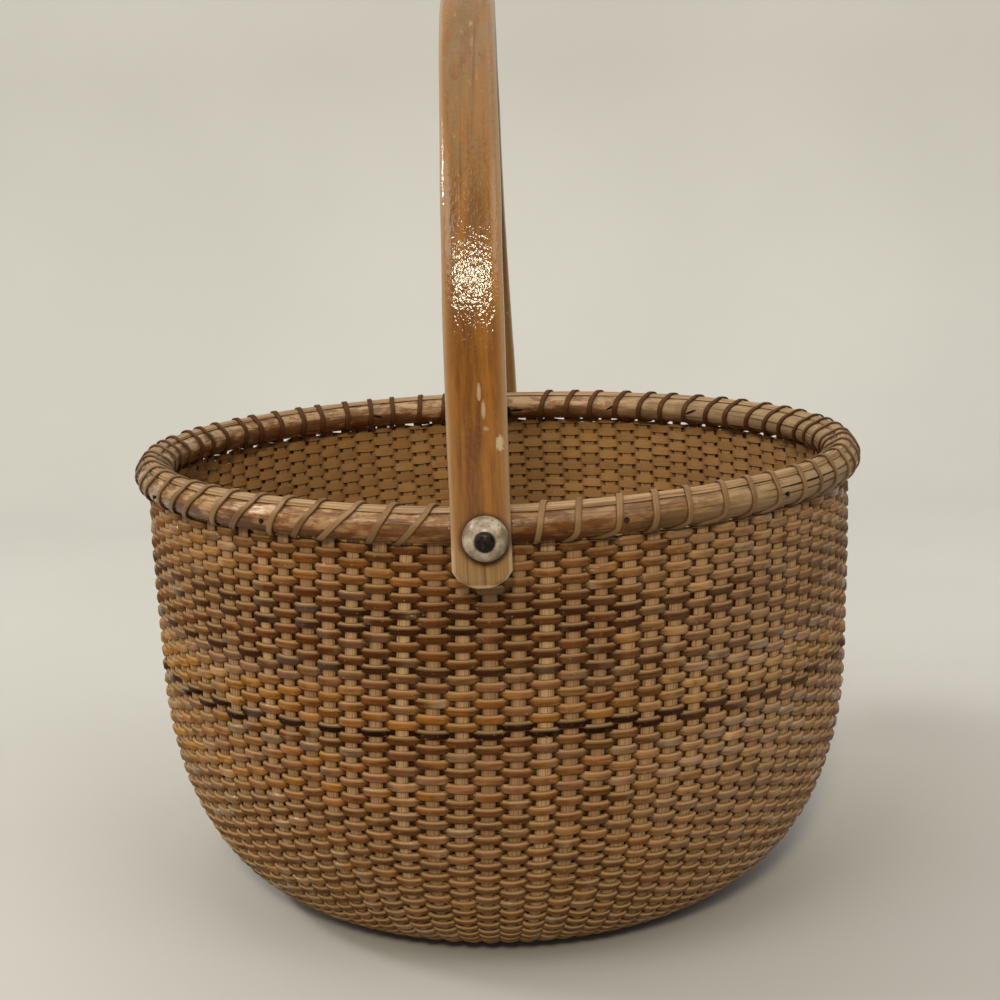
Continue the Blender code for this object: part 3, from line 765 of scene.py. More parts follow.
class Wall:
    """The wall's outer outline, measured along it from its top edge."""

    def __init__(self):
        top = RIM_RADIUS + WALL_TO_STAVE_MIDDLE
        shoulder = top - SHOULDER_INSET
        drop = (wall_top - SHOULDER_HEIGHT) / 3
        pull = SIDE_PULL_SHARE * SHOULDER_HEIGHT
        side = bezier((top, wall_top), (top + BELLY, wall_top - drop),
                      (shoulder + drop * SHOULDER_DRIFT_SHARE, SHOULDER_HEIGHT + drop),
                      (shoulder, SHOULDER_HEIGHT), 120)
        turn = bezier((shoulder, SHOULDER_HEIGHT),
                      (shoulder - pull * SHOULDER_DRIFT_SHARE, SHOULDER_HEIGHT - pull),
                      (FOOT_RADIUS + FLOOR_PULL_SHARE * (shoulder - FOOT_RADIUS), 0.0),
                      (FOOT_RADIUS, 0.0), 240)
        foot = np.linspace((FOOT_RADIUS, 0.0), (FOOT_RADIUS - FOOT_WIDTH, 0.0), 12)
        self.points = np.vstack(((top, wall_top + WALL_RISE), side, turn[1:], foot[1:]))
        self.arc = arc_length(self.points)
        self.length = self.arc[-1]
        self.down = unit(np.gradient(self.points, self.arc, axis=0))
        self.out = np.stack((-self.down[:, 1], self.down[:, 0]), -1)

    def at(self, arc, table):
        return np.stack([np.interp(arc, self.arc, column) for column in table.T], -1)

    def footing(self, arc):
        """0 on the side, rising to 1 at the foot that the basket stands on."""
        return eased((arc / self.length - 0.62) / 0.34)

    def setback(self, arc):
        """Depth of the staves' middle behind the outline, which grows at the groove."""
        groove = eased((arc - self.length) / GROOVE_APPROACH + 1)
        return STAVE_SETBACK + (GROOVE_HEIGHT - STAVE_SETBACK) * groove

    def place(self, arc, angle, inward):
        """Points inward of the outline, and the directions out of the wall and down along it."""
        e = radial(angle)
        out = unit(self.at(arc, self.out))
        down = unit(self.at(arc, self.down))
        spot = self.at(arc, self.points) - out * inward[..., None]
        return [e * flat[..., :1] + UP * flat[..., 1:] for flat in (spot, out, down)]


wall = Wall()


def sag(angle):
    """How far the rim lies below its even height, round the basket."""
    front = eased(1 - np.abs(angle_between(angle, FRONT)) / RIM_SAG_SPREAD)
    left = eased(1 - np.abs(angle_between(angle, RIM_RISE_ANGLE)) / RIM_RISE_SPREAD)
    return RIM_SAG * (front - RIM_RISE_SHARE * left)


def settled(points):
    """The points with the rim and the top of the wall lowered by the rim's sag."""
    share = eased((points[:, 2] - SAG_BOTTOM) / SAG_HEIGHT)
    angle = np.arctan2(points[:, 1], points[:, 0])
    return points - UP * (sag(angle) * share)[:, None]


def stave_angle(stave, arc):
    """Where a stave stands: unevenly, by hand, and turned slightly on its way down."""
    turn = np.mod(stave, STAVE_COUNT) * stave_pitch
    crowding = ring_wave(turn, 23, 1503) * eased(arc / STAVE_CROWDING_LENGTH)
    leaning = ring_wave(turn, 19, 12) * arc / wall.length
    shift = STAVE_CROWDING * (crowding + leaning) + STAVE_JITTER * ring_wave(
        turn, STAVE_COUNT, 11)
    return (FRONT + (stave + STAVE_PHASE_SHARE) * stave_pitch + shift / RIM_RADIUS
            - STAVE_TWIST * arc)


# Weaver

TONES = {
    "tan": rgb(148, 104, 56),
    "pale": rgb(170, 130, 80),
    "pink": rgb(148, 110, 82),
    "amber": rgb(135, 87, 32),
    "gold": rgb(156, 108, 42),
    "olive": rgb(110, 72, 30),
    "brown": rgb(96, 56, 24),
    "bark": rgb(62, 32, 17),
    "umber": rgb(36, 13, 5),
    "grey": rgb(124, 100, 76)}

# Lengths of cane from the rim down, in turns round the basket, and their tones
CANES = (
    (1.6, "tan"), (1.0, "olive"), (1.2, "amber"), (1.4, "tan"), (1.0, "olive"), (1.9, "brown"),
    (1.0, "bark"), (1.2, "brown"), (1.1, "bark"), (1.4, "brown"), (1.3, "brown"),
    (1.3, "olive"), (1.2, "bark"), (1.0, "grey"), (1.2, "pink"), (1.0, "pale"),
    (3.2, "gold"), (1.9, "umber"), (1.2, "olive"), (1.7, "grey"), (2.0, "tan"), (1.3, "pink"),
    (1.8, "gold"), (1.5, "tan"), (1.2, "olive"), (2.0, "grey"), (1.6, "tan"), (1.3, "amber"),
    (1.7, "pink"), (1.2, "olive"), (2.3, "tan"), (1.6, "brown"), (2.1, "pale"), (1.5, "grey"),
    (1.8, "tan"), (1.2, "olive"), (2.2, "pink"), (1.4, "amber"), (20.0, "tan"))

# Where the middle's shade is deepest
MIDDLE_SHADE_ANGLE = -0.16


def blend(first, second, share):
    return first + (second - first) * np.asarray(share)[:, None]


def cane_tints(stave):
    """The weaver's colour along it, by the number of staves that it has passed, with painted shade
    in the middle and in the lower rows.
    """
    turns = stave / STAVE_COUNT
    angle = stave * stave_pitch
    tone = {name: np.array(colour) for name, colour in TONES.items()}
    ends = np.cumsum([length for length, _ in CANES]) * STAVE_COUNT
    ends = (2 * np.round((ends - 1) / 2) + 1) / STAVE_COUNT
    colours = np.array([TONES[name] for _, name in CANES])
    tint = colours[np.minimum(np.searchsorted(ends, turns), len(CANES) - 1)]
    plain = eased(np.sum(tint[:, :3], axis=1) / 0.25)
    drift = wave(turns * 9.0, 21)
    tint = blend(tint, tone["brown"], 0.5 * plain * np.clip(drift, 0, 1))
    tint = blend(tint, tone["pale"], 0.35 * plain * np.clip(-drift, 0, 1))
    right = eased(0.5 + 0.9 * np.sin(angle))
    tint = blend(tint, tone["grey"], 0.34 * plain * right)
    patch = ring_wave(angle, 31, 24, turns / 2.2, 40)
    tint = blend(tint, tone["brown"], 0.75 * plain * eased((patch - 0.35) / 0.5))
    tint = blend(tint, tone["gold"], 0.28 * plain * eased((-patch - 0.45) / 0.4))
    spot = wave(stave * 0.8, 22)
    tint = blend(tint, np.array(rgb(66, 38, 22)), 0.55 * eased((spot - 0.62) / 0.3))
    tint = blend(tint, tone["pale"], 0.6 * plain * eased((-spot - 0.66) / 0.3))
    middle = eased((0.70 - np.abs(angle_between(angle, MIDDLE_SHADE_ANGLE))) / 0.4)
    middle *= 1 - 0.75 * eased((turns - 46) / 12)
    middle *= 1 + 0.16 * eased((turns - 5) / 3)
    tint = tint * (1 - middle[:, None] * (0.26, 0.38, 0.46, 0.0))
    faded = eased((-0.35 - np.sin(angle)) / 0.3) * eased((11 - turns) / 5)
    tint = tint * (1 + faded[:, None] * (0.02, 0.08, 0.30, 0.0))
    weathered = eased((np.sin(angle) - 0.30) / 0.5)[:, None]
    # Towards the bottom the rows turn a duller brown and darken, the darkening being painted shade
    low = eased((turns - 31) / 8)
    tint = blend(tint, np.array(rgb(122, 84, 50)), 0.5 * low)
    tint = blend(tint, np.array(rgb(112, 80, 48)), 0.4 * weathered[:, 0])
    tint = tint * (1.04 + weathered * (0.26, 0.46, 1.15, 0.0))
    tint = tint * (1 - 0.13 * low * (1 - weathered[:, 0]))[:, None]
    dusty = wave(stave * 0.6, 27)
    tint = blend(tint, np.array(rgb(150, 132, 104)), 0.55 * plain * eased((dusty - 0.88) / 0.1))
    return tint * 0.95 * (1 + 0.25 * wave(stave, 25))[:, None]


def weaver_sections(swing):
    """Cane along its swing: flat outside with cut corners, as shares of width and thickness.

    Its outer face narrows to a point where it passes in through the wall.
    """
    flat = np.array((
        (-0.5, -0.45), (0.5, -0.28), (0.40, 0.22), (0.35, 0.46), (0.12, 0.5), (-0.12, 0.5),
        (-0.34, 0.46), (-0.39, 0.22)))
    passing = flat.copy()
    passing[3:7, 0] *= 0.62
    passing[(2, 7), 0] *= 0.86
    passing[(2, 7), 1] -= 0.15
    share = eased((0.65 - swing) / 0.7)[:, None, None]
    return flat * (1 - share) + passing * share


def weaver_crevices(swing):
    """How deep in shadow each corner of the section lies, along the weaver's swing."""
    first = np.array((0.3, 0.3, 0.35, 0.0, -0.2, -0.2, 0.0, 0.35))
    rising = np.array((1, 1, -1, -1, -1, -1, -1, -1))
    return np.clip((swing[:, None] - first) * rising / 0.48, 0, 1)


def weaver_rows(turns, rows, pitch):
    """The upper and lower edges of the weaver along the wall. It starts and ends as a taper."""
    upper = np.maximum(turns - 1, 0) * pitch
    lower = np.minimum(turns, rows) * pitch
    dips = np.clip(1.5 * wave(turns * 31, 37) - 0.45, 0, 1)
    dips *= WEAVER_DIP * eased(8 * turns * (1 - turns))
    return upper + np.minimum(dips, 0.6 * (lower - upper)), lower


def weaver_line(stave, rows):
    """The weaver's middle, directions, width and thickness, and its swing, 1 outside."""
    turns = stave / STAVE_COUNT
    circle = stave * stave_pitch
    upper, lower = weaver_rows(turns, rows, wall.length / rows)
    foot = wall.footing((upper + lower) / 2)
    swing = np.cos(math.pi * stave)
    swing = np.sign(swing) * np.abs(swing) ** WEAVER_PEAK_SHARE
    arc = (upper + lower) / 2 - WEAVER_LIFT * swing * (1 - foot)
    arc += WEAVER_SWAY * ring_wave(circle, 13, 31, turns / 7, 12) * eased(
        6 * turns / rows * (1 - turns / rows))
    arc += WEAVER_WANDER * ring_wave(circle, 61, 32, turns / 3, 40)
    arc += WEAVER_JITTER * wave(stave, 33)
    arc = np.clip(arc, WEAVER_TOP_CLEARANCE, wall.length - WEAVER_FOOT_CLEARANCE)
    whole = np.floor(stave)
    share = stave - whole
    angle = stave_angle(whole, arc) * (1 - share) + stave_angle(whole + 1, arc) * share
    reach = WEAVER_SWING + (WEAVER_FOOT_SWING - WEAVER_SWING) * foot
    reach *= 1 + 0.08 * wave(stave, 34) * (1 - foot)
    thickness = WEAVER_THICKNESS + (WEAVER_FOOT_THICKNESS - WEAVER_THICKNESS) * foot
    centre, out, down = wall.place(arc, angle, wall.setback(arc) - reach * swing)
    along = unit(np.gradient(centre, axis=0))
    across = unit(down - along * np.sum(down * along, 1, keepdims=True))
    outward = np.cross(across, along)
    outward *= np.sign(np.sum(outward * out, 1))[:, None]
    tilt = (WEAVER_TILT * wave(stave, 35) * (1 - foot))[:, None]
    across, outward = (across * np.cos(tilt) + outward * np.sin(tilt),
                       outward * np.cos(tilt) - across * np.sin(tilt))
    over = ROW_OVERLAP_SHARE * (1 + 0.4 * wave(stave, 39)) * eased(swing + 0.2)
    over += INNER_OVERLAP_SHARE * eased(0.5 - swing)
    width = np.maximum((lower - upper) * (CROSSING_OVERLAP_SHARE + over), WEAVER_LEAST_WIDTH)
    return centre, across, outward, np.stack((width, thickness), -1), swing


def make_weaver(material):
    rows = round(wall.length / ROW_PITCH)
    steps = len(CROSSING_PLACES)
    number = np.arange((rows + 1) * STAVE_COUNT * steps + 1)
    stave = number // steps + np.array(CROSSING_PLACES)[number % steps]
    centre, across, outward, size, swing = weaver_line(stave, rows)
    section = weaver_sections(swing) * size[:, None]
    # Mostly the upper corners of the section turn pale: partly worn edges, partly a painted
    # highlight
    edge = np.array((0.2, 0.0, 0.0, 0.0, 0.0, 0.0, 0.7, 1.1))
    inside = np.array((1.0, 1.0, 0.4, 0.0, 0.0, 0.0, 0.0, 0.4))
    # Painted shade and dirt in the tucks, carried in the attribute tuck
    crevice = weaver_crevices(swing)
    # Painted light and shade: the section's upper corners lighter and its lower bevel darker, as
    # light falls from above
    lit = np.array((1.0, 1.0, 0.60, 0.88, 1.0, 1.04, 1.15, 1.1))
    tint = cane_tints(stave)[:, None] * (lit[:, None] ** np.array((1, 1, 1, 0)))
    glow = np.clip(2.4 * wave(stave * 0.9, 38) - 1.1, 0, 1)
    per_turn = STAVE_COUNT * steps
    for band in range(BAND_COUNT):
        first = (rows + 1) * band // BAND_COUNT
        last = (rows + 1) * (band + 1) // BAND_COUNT
        part = slice(first * per_turn, last * per_turn + 1)
        strips = Strips(last - first)
        strips.add(centre[part], across[part], outward[part], section[part],
                   turns=last - first, start=first * math.tau * RIM_RADIUS,
                   tint=tint[part], tuck=crevice[part],
                   edge=edge[None], inside=inside[None], glow=glow[part][:, None])
        strips.build("weaver_%d" % (band + 1), material, "cane_weave", "basket",
                     ("woven_wall",), settle=True, sharp=WEAVER_SHARP_ANGLE)


# Staves

def stave_section(count=11):
    """Domed outside with fine ridges, as shares of the width and thickness."""
    share = np.linspace(0.5, -0.5, count)
    dome = 0.5 - (0.5 - 0.5 * STAVE_EDGE_SHARE) * (2 * share) ** 2
    dome[1::2] -= STAVE_GROOVE / STAVE_THICKNESS
    outer = np.stack((share, dome), -1)
    inner = np.array(((-0.62, -0.12), (-0.5, -0.42), (0.5, -0.42), (0.62, -0.12)))
    return np.vstack((inner, outer))


def stave_route():
    """Places in a stave's own plane from its butt to the rim, and how far down the wall."""
    arcs = np.linspace(wall.length, 0.0, 58)
    points = wall.at(arcs, wall.points) - wall.at(arcs, wall.out) * wall.setback(arcs)[:, None]
    butt = plate_radius - GROOVE_DEPTH + GAP
    low = np.linspace((butt, GROOVE_HEIGHT), points[0], 5)[:-1]
    tip = hoop_middle + hoop_half_height - STAVE_TUCK
    top = points[-1]
    high = top + np.linspace(0.0, 1.0, 6)[1:, None] * (np.array((RIM_RADIUS, tip)) - top)
    arcs = np.concatenate((np.full(len(low), wall.length), arcs, np.zeros(len(high))))
    return np.vstack((low, points, high)), arcs


def make_staves(material):
    route, arcs = stave_route()
    forward = unit(np.gradient(route, axis=0))
    outward = np.stack((forward[:, 1], -forward[:, 0]), -1)
    outline = stave_section()
    tones = np.random.default_rng(41).uniform(0.0, 1.0, STAVE_COUNT)
    widths = np.random.default_rng(42).uniform(0.90, 1.06, STAVE_COUNT)
    inside = np.where(outline[:, 1] < 0, 1.0, 0.0)[None]
    ends = np.maximum(eased((STAVE_FOOT_RADIUS - route[:, 0]) / STAVE_FOOT_LENGTH),
                      eased(1 - arcs / STAVE_TOP_LENGTH))
    thickness = STAVE_THICKNESS + (STAVE_END_THICKNESS - STAVE_THICKNESS) * ends
    strips = Strips(STAVE_COUNT)
    for stave in range(STAVE_COUNT):
        angle = stave_angle(float(stave), arcs)
        e = radial(angle)
        centres = e * route[:, :1] + UP * route[:, 1:]
        out = e * outward[:, :1] + UP * outward[:, 1:]
        along = unit(np.gradient(centres, axis=0))
        side = np.cross(out, along)
        width = STAVE_WIDTH * widths[stave] * route[:, 0] / RIM_RADIUS
        width *= 1 + 0.05 * wave(np.linspace(0, 14, len(route)), 50 + stave)
        size = np.stack((width, thickness), -1)
        strips.add(centres, side, out, outline[None] * size[:, None], first_row=stave,
                   tone=tones[stave], inside=inside)
    strips.build("staves", material, "rattan", "basket", ("stave_cage",), settle=True)


# Rim

def ring_strips(section):
    """A closed ring about Z from sections of radius and height, anticlockwise."""
    steps = len(section)
    angles = np.arange(steps) * math.tau / steps
    e = radial(angles)
    up = np.broadcast_to(UP, (steps, 3))
    middle = section.mean(axis=1)
    strips = Strips(8)
    strips.add(e * middle[:, :1] + up * middle[:, 1:], e, up, section - middle[:, None],
               turns=8, ring=True)
    return strips


def hoop_sections(direction, seed):
    """Half-round sections (radius, height) round the rim, flat towards the staves."""
    angles = np.arange(RIM_STEPS) * math.tau / RIM_STEPS
    spread = np.linspace(-math.pi / 2, math.pi / 2, HOOP_CORNERS)
    flat = RIM_RADIUS + direction * HOOP_SPACING / 2
    base = np.stack((flat + direction * hoop_thickness * np.cos(spread),
                     hoop_middle + hoop_half_height * np.sin(spread)), -1)
    normal = np.stack((direction * np.cos(spread), np.sin(spread)), -1)
    section = np.repeat(base[None], RIM_STEPS, 0)
    for number in range(1, HOOP_CORNERS - 1):
        line = ring_wave(angles, 37, seed + number) * (0.4 + 0.6 * (number % 2))
        section[:, number] += normal[number] * (HOOP_GROOVE * (line - 1))[:, None]
    return section if direction > 0 else section[:, ::-1]


def filler_sections():
    """Low crowned strip on top of the hoops, nearer the outer one, with edges cut by hand."""
    angles = np.arange(RIM_STEPS) * math.tau / RIM_STEPS
    middle = RIM_RADIUS + FILLER_OUTWARD
    shares = ((1.0, 0.0), (0.97, 0.45), (0.72, 0.85), (0.3, 1.0), (-0.3, 0.95), (-0.72, 0.6),
              (-0.97, 0.2), (-1.0, 0.0))
    section = np.zeros((RIM_STEPS, len(shares), 2))
    for number, (wide, high) in enumerate(shares):
        edge = 1 + 0.10 * ring_wave(angles, 61, 300 + (number > 3))
        radius = middle + FILLER_WIDTH / 2 * wide * edge
        lean = (radius - RIM_RADIUS) / hoop_thickness
        drop = hoop_half_height * (1 - np.sqrt(1 - np.clip(np.abs(lean) - 0.28, 0, 1) ** 2))
        section[:, number, 0] = radius
        section[:, number, 1] = (
            hoop_middle + hoop_half_height + GAP - drop + FILLER_THICKNESS * high
            * (1 + 0.12 * ring_wave(angles, 47, 310 + number)))
    return section


def make_rim(hoop_wood, strip_wood):
    for name, direction, seed in (("outer_hoop", 1, 100), ("inner_hoop", -1, 200)):
        ring_strips(hoop_sections(direction, seed)).build(
            name + "_wood", hoop_wood, "hoop_wood", "basket", (name,), settle=True)
    ring_strips(filler_sections()).build(
        "filler_strip", strip_wood, "rattan", "basket", ("rim_filler",), settle=True)


# Lashing

def gap_angle(number):
    return FRONT + (number + gap_phase_share) * stave_pitch


def even_spans(total, count):
    return [(i + 1) * total // count - i * total // count for i in range(count)]


def lashing_wraps():
    """First gap between staves and number of gaps of each wrap, with room for the pins."""
    back = STAVE_COUNT / 2
    after_front = math.ceil(PIN_ROOM_SHARE - gap_phase_share)
    before_back = math.floor(back - PIN_ROOM_SHARE - gap_phase_share)
    after_back = math.ceil(back + PIN_ROOM_SHARE - gap_phase_share)
    before_front = STAVE_COUNT + math.floor(-PIN_ROOM_SHARE - gap_phase_share)
    spans = even_spans(before_back - after_front, LASHING_SIDE_COUNT)
    spans.append(after_back - before_back)
    spans += even_spans(before_front - after_back, LASHING_SIDE_COUNT)
    spans.append(after_front + STAVE_COUNT - before_front)
    starts = np.concatenate(([0], np.cumsum(spans)[:-1])) + after_front
    return list(zip(starts, spans))


def even_starts(wraps):
    """Where each wrap would start if the wraps of its side were spaced evenly."""
    starts = np.array([start for start, _ in wraps], float)
    half = LASHING_SIDE_COUNT + 1
    for first in (0, half):
        last = first + LASHING_SIDE_COUNT
        starts[first:last + 1] = np.linspace(starts[first], starts[last], half)
    return starts


def rim_loop(count):
    """The strand's middle line round the rim's section, as a string pulled tight round it.

    It gives offsets (radius, height) from under the staves, up outside and over the top.
    """
    clear = EASE + LASHING_THICKNESS / 2
    turn = np.linspace(0.0, math.tau, 72, endpoint=False)
    rounds = []
    for direction in (1, -1):
        flat = RIM_RADIUS + direction * HOOP_SPACING / 2
        rounds.append(np.stack((
            flat + direction * (hoop_thickness + clear) * np.abs(np.cos(turn)),
            hoop_middle + (hoop_half_height + clear) * np.sin(turn)), -1))
    crown = filler_sections().max(axis=0)[2:6]
    rounds.append(crown + (0.0, clear))
    points = np.vstack(rounds)
    hull = points[convex_hull_2d([tuple(p) for p in points])]
    closed = np.vstack((hull, hull[:1]))
    arc = arc_length(closed)
    dense = np.linspace(0.0, arc[-1], 721)[:-1]
    line = np.stack([np.interp(dense, arc, closed[:, i]) for i in (0, 1)], -1)
    low = np.argmin(np.abs(line[:, 0] - RIM_RADIUS) + 10 * (line[:, 1] - hull[:, 1].min()))
    line = np.roll(line, -low, axis=0)
    if line[len(line) // 4, 0] < RIM_RADIUS:
        line = np.roll(line[::-1], 1, axis=0)
    return line[np.arange(count) * len(line) // count]


def make_lashing(material):
    """One strand. It keeps to the gaps between the staves, but shows at even distances."""
    loop = rim_loop(LASHING_STEPS)
    share = np.arange(LASHING_STEPS) / LASHING_STEPS
    wraps = lashing_wraps()
    evens = np.append(even_starts(wraps), wraps[0][0] + STAVE_COUNT)
    centres = []
    for number, (start, span) in enumerate(wraps):
        even = evens[number]
        step = evens[number + 1] - even
        right = float(eased(2 * math.cos(gap_angle(start) - LASHING_STRAIGHT_ANGLE) - 0.5))
        outside = 0.72 - 0.50 * right + 0.04 * math.sin(number * 2.4)
        lean = share + (outside - 0.5) * np.sin(math.pi * share)
        reach = 0.45 - 0.27 * right
        gap = (even + step * lean + 0.12 * math.sin(number * 4.1) * np.sin(math.pi * share)
               + (start - even) * eased(1 - share / reach)
               + (start + span - even - step) * eased(1 - (1 - share) / 0.2))
        angle = FRONT + (gap + gap_phase_share) * stave_pitch
        centres.append(radial(angle) * loop[:, :1] + UP * loop[:, 1:])
    centres = np.concatenate(centres)[:-LASHING_STEPS // 4]
    along = unit(np.gradient(centres, axis=0))
    angle = np.arctan2(centres[:, 1], centres[:, 0])
    core = radial(angle) * RIM_RADIUS + UP * hoop_middle
    outward = centres - core
    outward = unit(outward - along * np.sum(outward * along, 1, keepdims=True))
    across = np.cross(along, outward)
    outline = np.array(((-0.5, -0.45), (0.5, -0.45), (0.5, 0.15), (0.40, 0.42), (0.14, 0.5),
                        (0.0, 0.36), (-0.14, 0.5), (-0.40, 0.42), (-0.5, 0.15)))
    count = len(centres)
    width = LASHING_WIDTH * (1 + 0.12 * wave(np.arange(count) / LASHING_STEPS * 2.0, 61))
    width *= 1 - 0.10 * eased(1.2 * np.cos(angle - LASHING_WORN_ANGLE))
    size = np.stack((width, np.full(count, LASHING_THICKNESS)), -1)
    # Where the painted shade lies round the strand's section
    edge = np.array((1.0, 1.0, 1.0, 0.3, 0.0, 0.3, 0.0, 0.3, 1.0))
    stain = eased(0.5 + 1.4 * np.sin(angle))
    strips = Strips(1)
    strips.add(centres, across, outward, outline[None] * size[:, None], edge=edge[None],
               stain=stain[:, None])
    strips.build("lashing_strand", material, "cane_strand", "basket", ("rim_lashing",),
                 settle=True)


# Handle

def handle_stations():
    """Middle, outward direction, half width and end share, from the front foot over."""
    foot = pin_line - handle_low[2]
    leg = arch_height - pin_line
    ends = [(-foot + HANDLE_FOOT_CUT * (1 - drop), drop) for drop in np.linspace(1, 0, 21)]
    feet = ends + [(height, 0.0) for height in np.linspace(
        -foot + HANDLE_FOOT_CUT, leg, 18)[1:-1]]
    rows = [(0.0, -handle_radius, height, 0.0, -1.0, 0.0, drop) for height, drop in feet]
    for angle in np.linspace(0.0, math.pi, 121):
        y, z = -math.cos(angle), math.sin(angle)
        rows.append((0.0, y * handle_radius, z * handle_radius + leg, 0.0, y, z, 0.0))
    rows += [(0.0, handle_radius, height, 0.0, 1.0, 0.0, drop)
             for height, drop in reversed(feet)]
    table = np.array(rows)
    spot, out, drop = table[:, :3], table[:, 3:6], table[:, 6]
    rise = np.clip(spot[:, 2] / (leg + handle_outside), 0.0, 1.0)
    half = (HANDLE_WIDTH + (HANDLE_CROWN_WIDTH - HANDLE_WIDTH) * rise ** 2) / 2
    return spot, out, half * np.interp(drop, *zip(*HANDLE_FOOT_SHAPE)), drop


def handle_section(half, deep, drop):
    """Flat face outside between two wide facets, which run into the rounded sides."""
    wide = min(HANDLE_FACET_WIDTH, 0.55 * half)
    low = HANDLE_FACET_DEPTH
    back = HANDLE_BACK_BEVEL
    face = deep - HANDLE_FACE_ROUND * drop ** 4
    right = [(half - wide, face), (half - 0.72 * wide, face - 0.08 * low),
             (half - 0.42 * wide, face - 0.36 * low), (half - 0.14 * wide, face - 0.78 * low),
             (half - HANDLE_SIDE_ROUND, face - 1.15 * low), (half, face - 1.7 * low),
             (half, back - deep), (half - 0.3 * back, 0.3 * back - deep), (half - back, -deep)]
    left = [(-x, y) for x, y in reversed(right)]
    return np.array(right + left)[::-1]


def make_handle(material):
    spot, out, half, drop = handle_stations()
    count = len(spot)
    along = arc_length(spot)
    shares, asides = zip(*HANDLE_ASIDE)
    aside = np.interp(along / along[-1], shares, asides)
    smooth = np.ones(9) / 9
    aside = np.convolve(np.pad(aside, 4, mode="edge"), smooth, mode="valid")
    centres = spot + UP * pin_line + aside[:, None] * (1.0, 0.0, 0.0)
    across = np.broadcast_to((1.0, 0.0, 0.0), (count, 3))
    wander = HANDLE_WANDER * wave(np.linspace(0, 34, count), 71)
    sections = np.array([handle_section(wide + more, HANDLE_THICKNESS / 2, end)
                         for wide, more, end in zip(half, wander, drop)])
    sides = np.abs(sections[:, :, 0]) / half[:, None]
    edge = np.clip((sides - 0.62) / 0.2, 0, 1)
    rim = np.clip((sides - 0.90) / 0.05, 0, 1)
    rim = np.maximum(rim, eased((drop - 0.74) / 0.16)[:, None] * (sections[:, :, 1] > 0))
    bare = eased((-spot[:, 2] - HANDLE_BARE_DROP) / HANDLE_BARE_LENGTH)[:, None]
    strips = Strips(8)
    strips.add(centres, across, out, sections, edge=edge, rim=rim, bare=bare)
    strips.build("handle_bow", material, "handle_wood", "handle", ("handle",))


# Turned pieces

def turned(name, outline, steps, material, slot, stands_for, side=0):
    """A piece turned about Z, or about the pin line for side -1 in front and 1 behind."""
    outline = np.array(outline)
    angles = np.arange(steps) * math.tau / steps
    middle = outline.mean(axis=0)
    e = radial(angles)
    section = np.repeat((outline - middle)[None], steps, 0)
    centres = e * middle[0] + UP * middle[1]
    up = np.broadcast_to(UP, (steps, 3))
    if side:
        turn = np.array(Matrix.Rotation(-side * math.pi / 2, 3, "X"))
        centres, e, up = (part @ turn.T for part in (centres, e, up))
        centres = centres + UP * pin_line
    strips = Strips(4)
    strips.add(centres, e, up, section, turns=4, ring=True)
    return strips.build(name, material, slot, "basket", stands_for)


def arc_points(centre, radius, first, last, count):
    angles = np.radians(np.linspace(first, last, count))
    return [(centre[0] + radius[0] * math.cos(a), centre[1] + radius[1] * math.sin(a))
            for a in angles]


def make_pivots(bone, metal):
    base, top = knob_low[1], knob_high[1]
    knob_radius = knob_high[0]
    land = math.degrees(math.asin(math.sqrt(1 - (KNOB_LAND_RADIUS / knob_radius) ** 2)))
    rise = (top - base - KNOB_EDGE) / math.sin(math.radians(land))
    bore = PIN_RADIUS + GAP
    knob = [(bore, base), (knob_radius - KNOB_CHAMFER, base),
            (knob_radius, base + KNOB_CHAMFER)]
    knob += arc_points((0.0, base + KNOB_EDGE), (knob_radius, rise), 0, land, 14)
    knob += [(KNOB_LAND_RADIUS - KNOB_LAND_CHAMFER, top - KNOB_LAND_CHAMFER),
             (bore, top - KNOB_HOLLOW)]
    tail = pin_low[1] + PIN_TAIL_HEIGHT
    head = pin_high[1] - PIN_HEAD_HEIGHT
    pin = [(AXIS, tail - PIN_TAIL_HEIGHT)]
    pin += arc_points((0.0, tail), (PIN_TAIL_RADIUS, PIN_TAIL_HEIGHT), -60, 0, 5)
    pin += [(PIN_RADIUS, tail), (PIN_RADIUS, head), (PIN_HEAD_RADIUS, head)]
    pin += arc_points((0.0, head), (PIN_HEAD_RADIUS, PIN_HEAD_HEIGHT), 12, 84, 7)
    pin.append((AXIS, head + PIN_HEAD_HEIGHT))
    for side, word in ((-1, "front"), (1, "back")):
        turned(word + "_bone_knob", knob, 64, bone, "bone", (word + "_knob",), side)
        turned(word + "_pin_head", pin, 48, metal, "dark_metal", (word + "_pin",), side)


def make_base(material):
    lower = GROOVE_HEIGHT - GROOVE_WIDTH / 2
    upper = GROOVE_HEIGHT + GROOVE_WIDTH / 2
    floor = plate_radius - GROOVE_DEPTH
    edge = plate_radius - PLATE_EDGE_RADIUS
    crown = plate_top - PLATE_EDGE_RADIUS
    outline = [
        (PLUG_RADIUS + GAP, PLATE_LIFT), (plate_radius - PLATE_CHAMFER, PLATE_LIFT),
        (plate_radius, PLATE_LIFT + PLATE_CHAMFER), (plate_radius, lower), (floor, lower),
        (floor, upper), (plate_radius, upper), (plate_radius, crown)]
    outline += arc_points((edge, crown), (PLATE_EDGE_RADIUS, PLATE_EDGE_RADIUS), 10, 90, 7)
    for radius, deep, half in PLATE_RINGS:
        outline += [(radius + half, plate_top), (radius, plate_top - deep),
                    (radius - half, plate_top)]
    outline.append((PLUG_RADIUS + GAP, plate_top))
    turned("turned_base", outline, 160, material, "base_wood", ("base_plate",))
    plug = [(AXIS, PLATE_LIFT), (PLUG_RADIUS, PLATE_LIFT), (PLUG_RADIUS, plate_top)]
    plug += arc_points((0.0, plate_top), (PLUG_RADIUS, PLUG_CROWN), 15, 85, 6)
    plug.append((AXIS, plate_top + PLUG_CROWN))
    turned("turned_plug", plug, 48, material, "base_wood", ("base_plug",))


# Stage

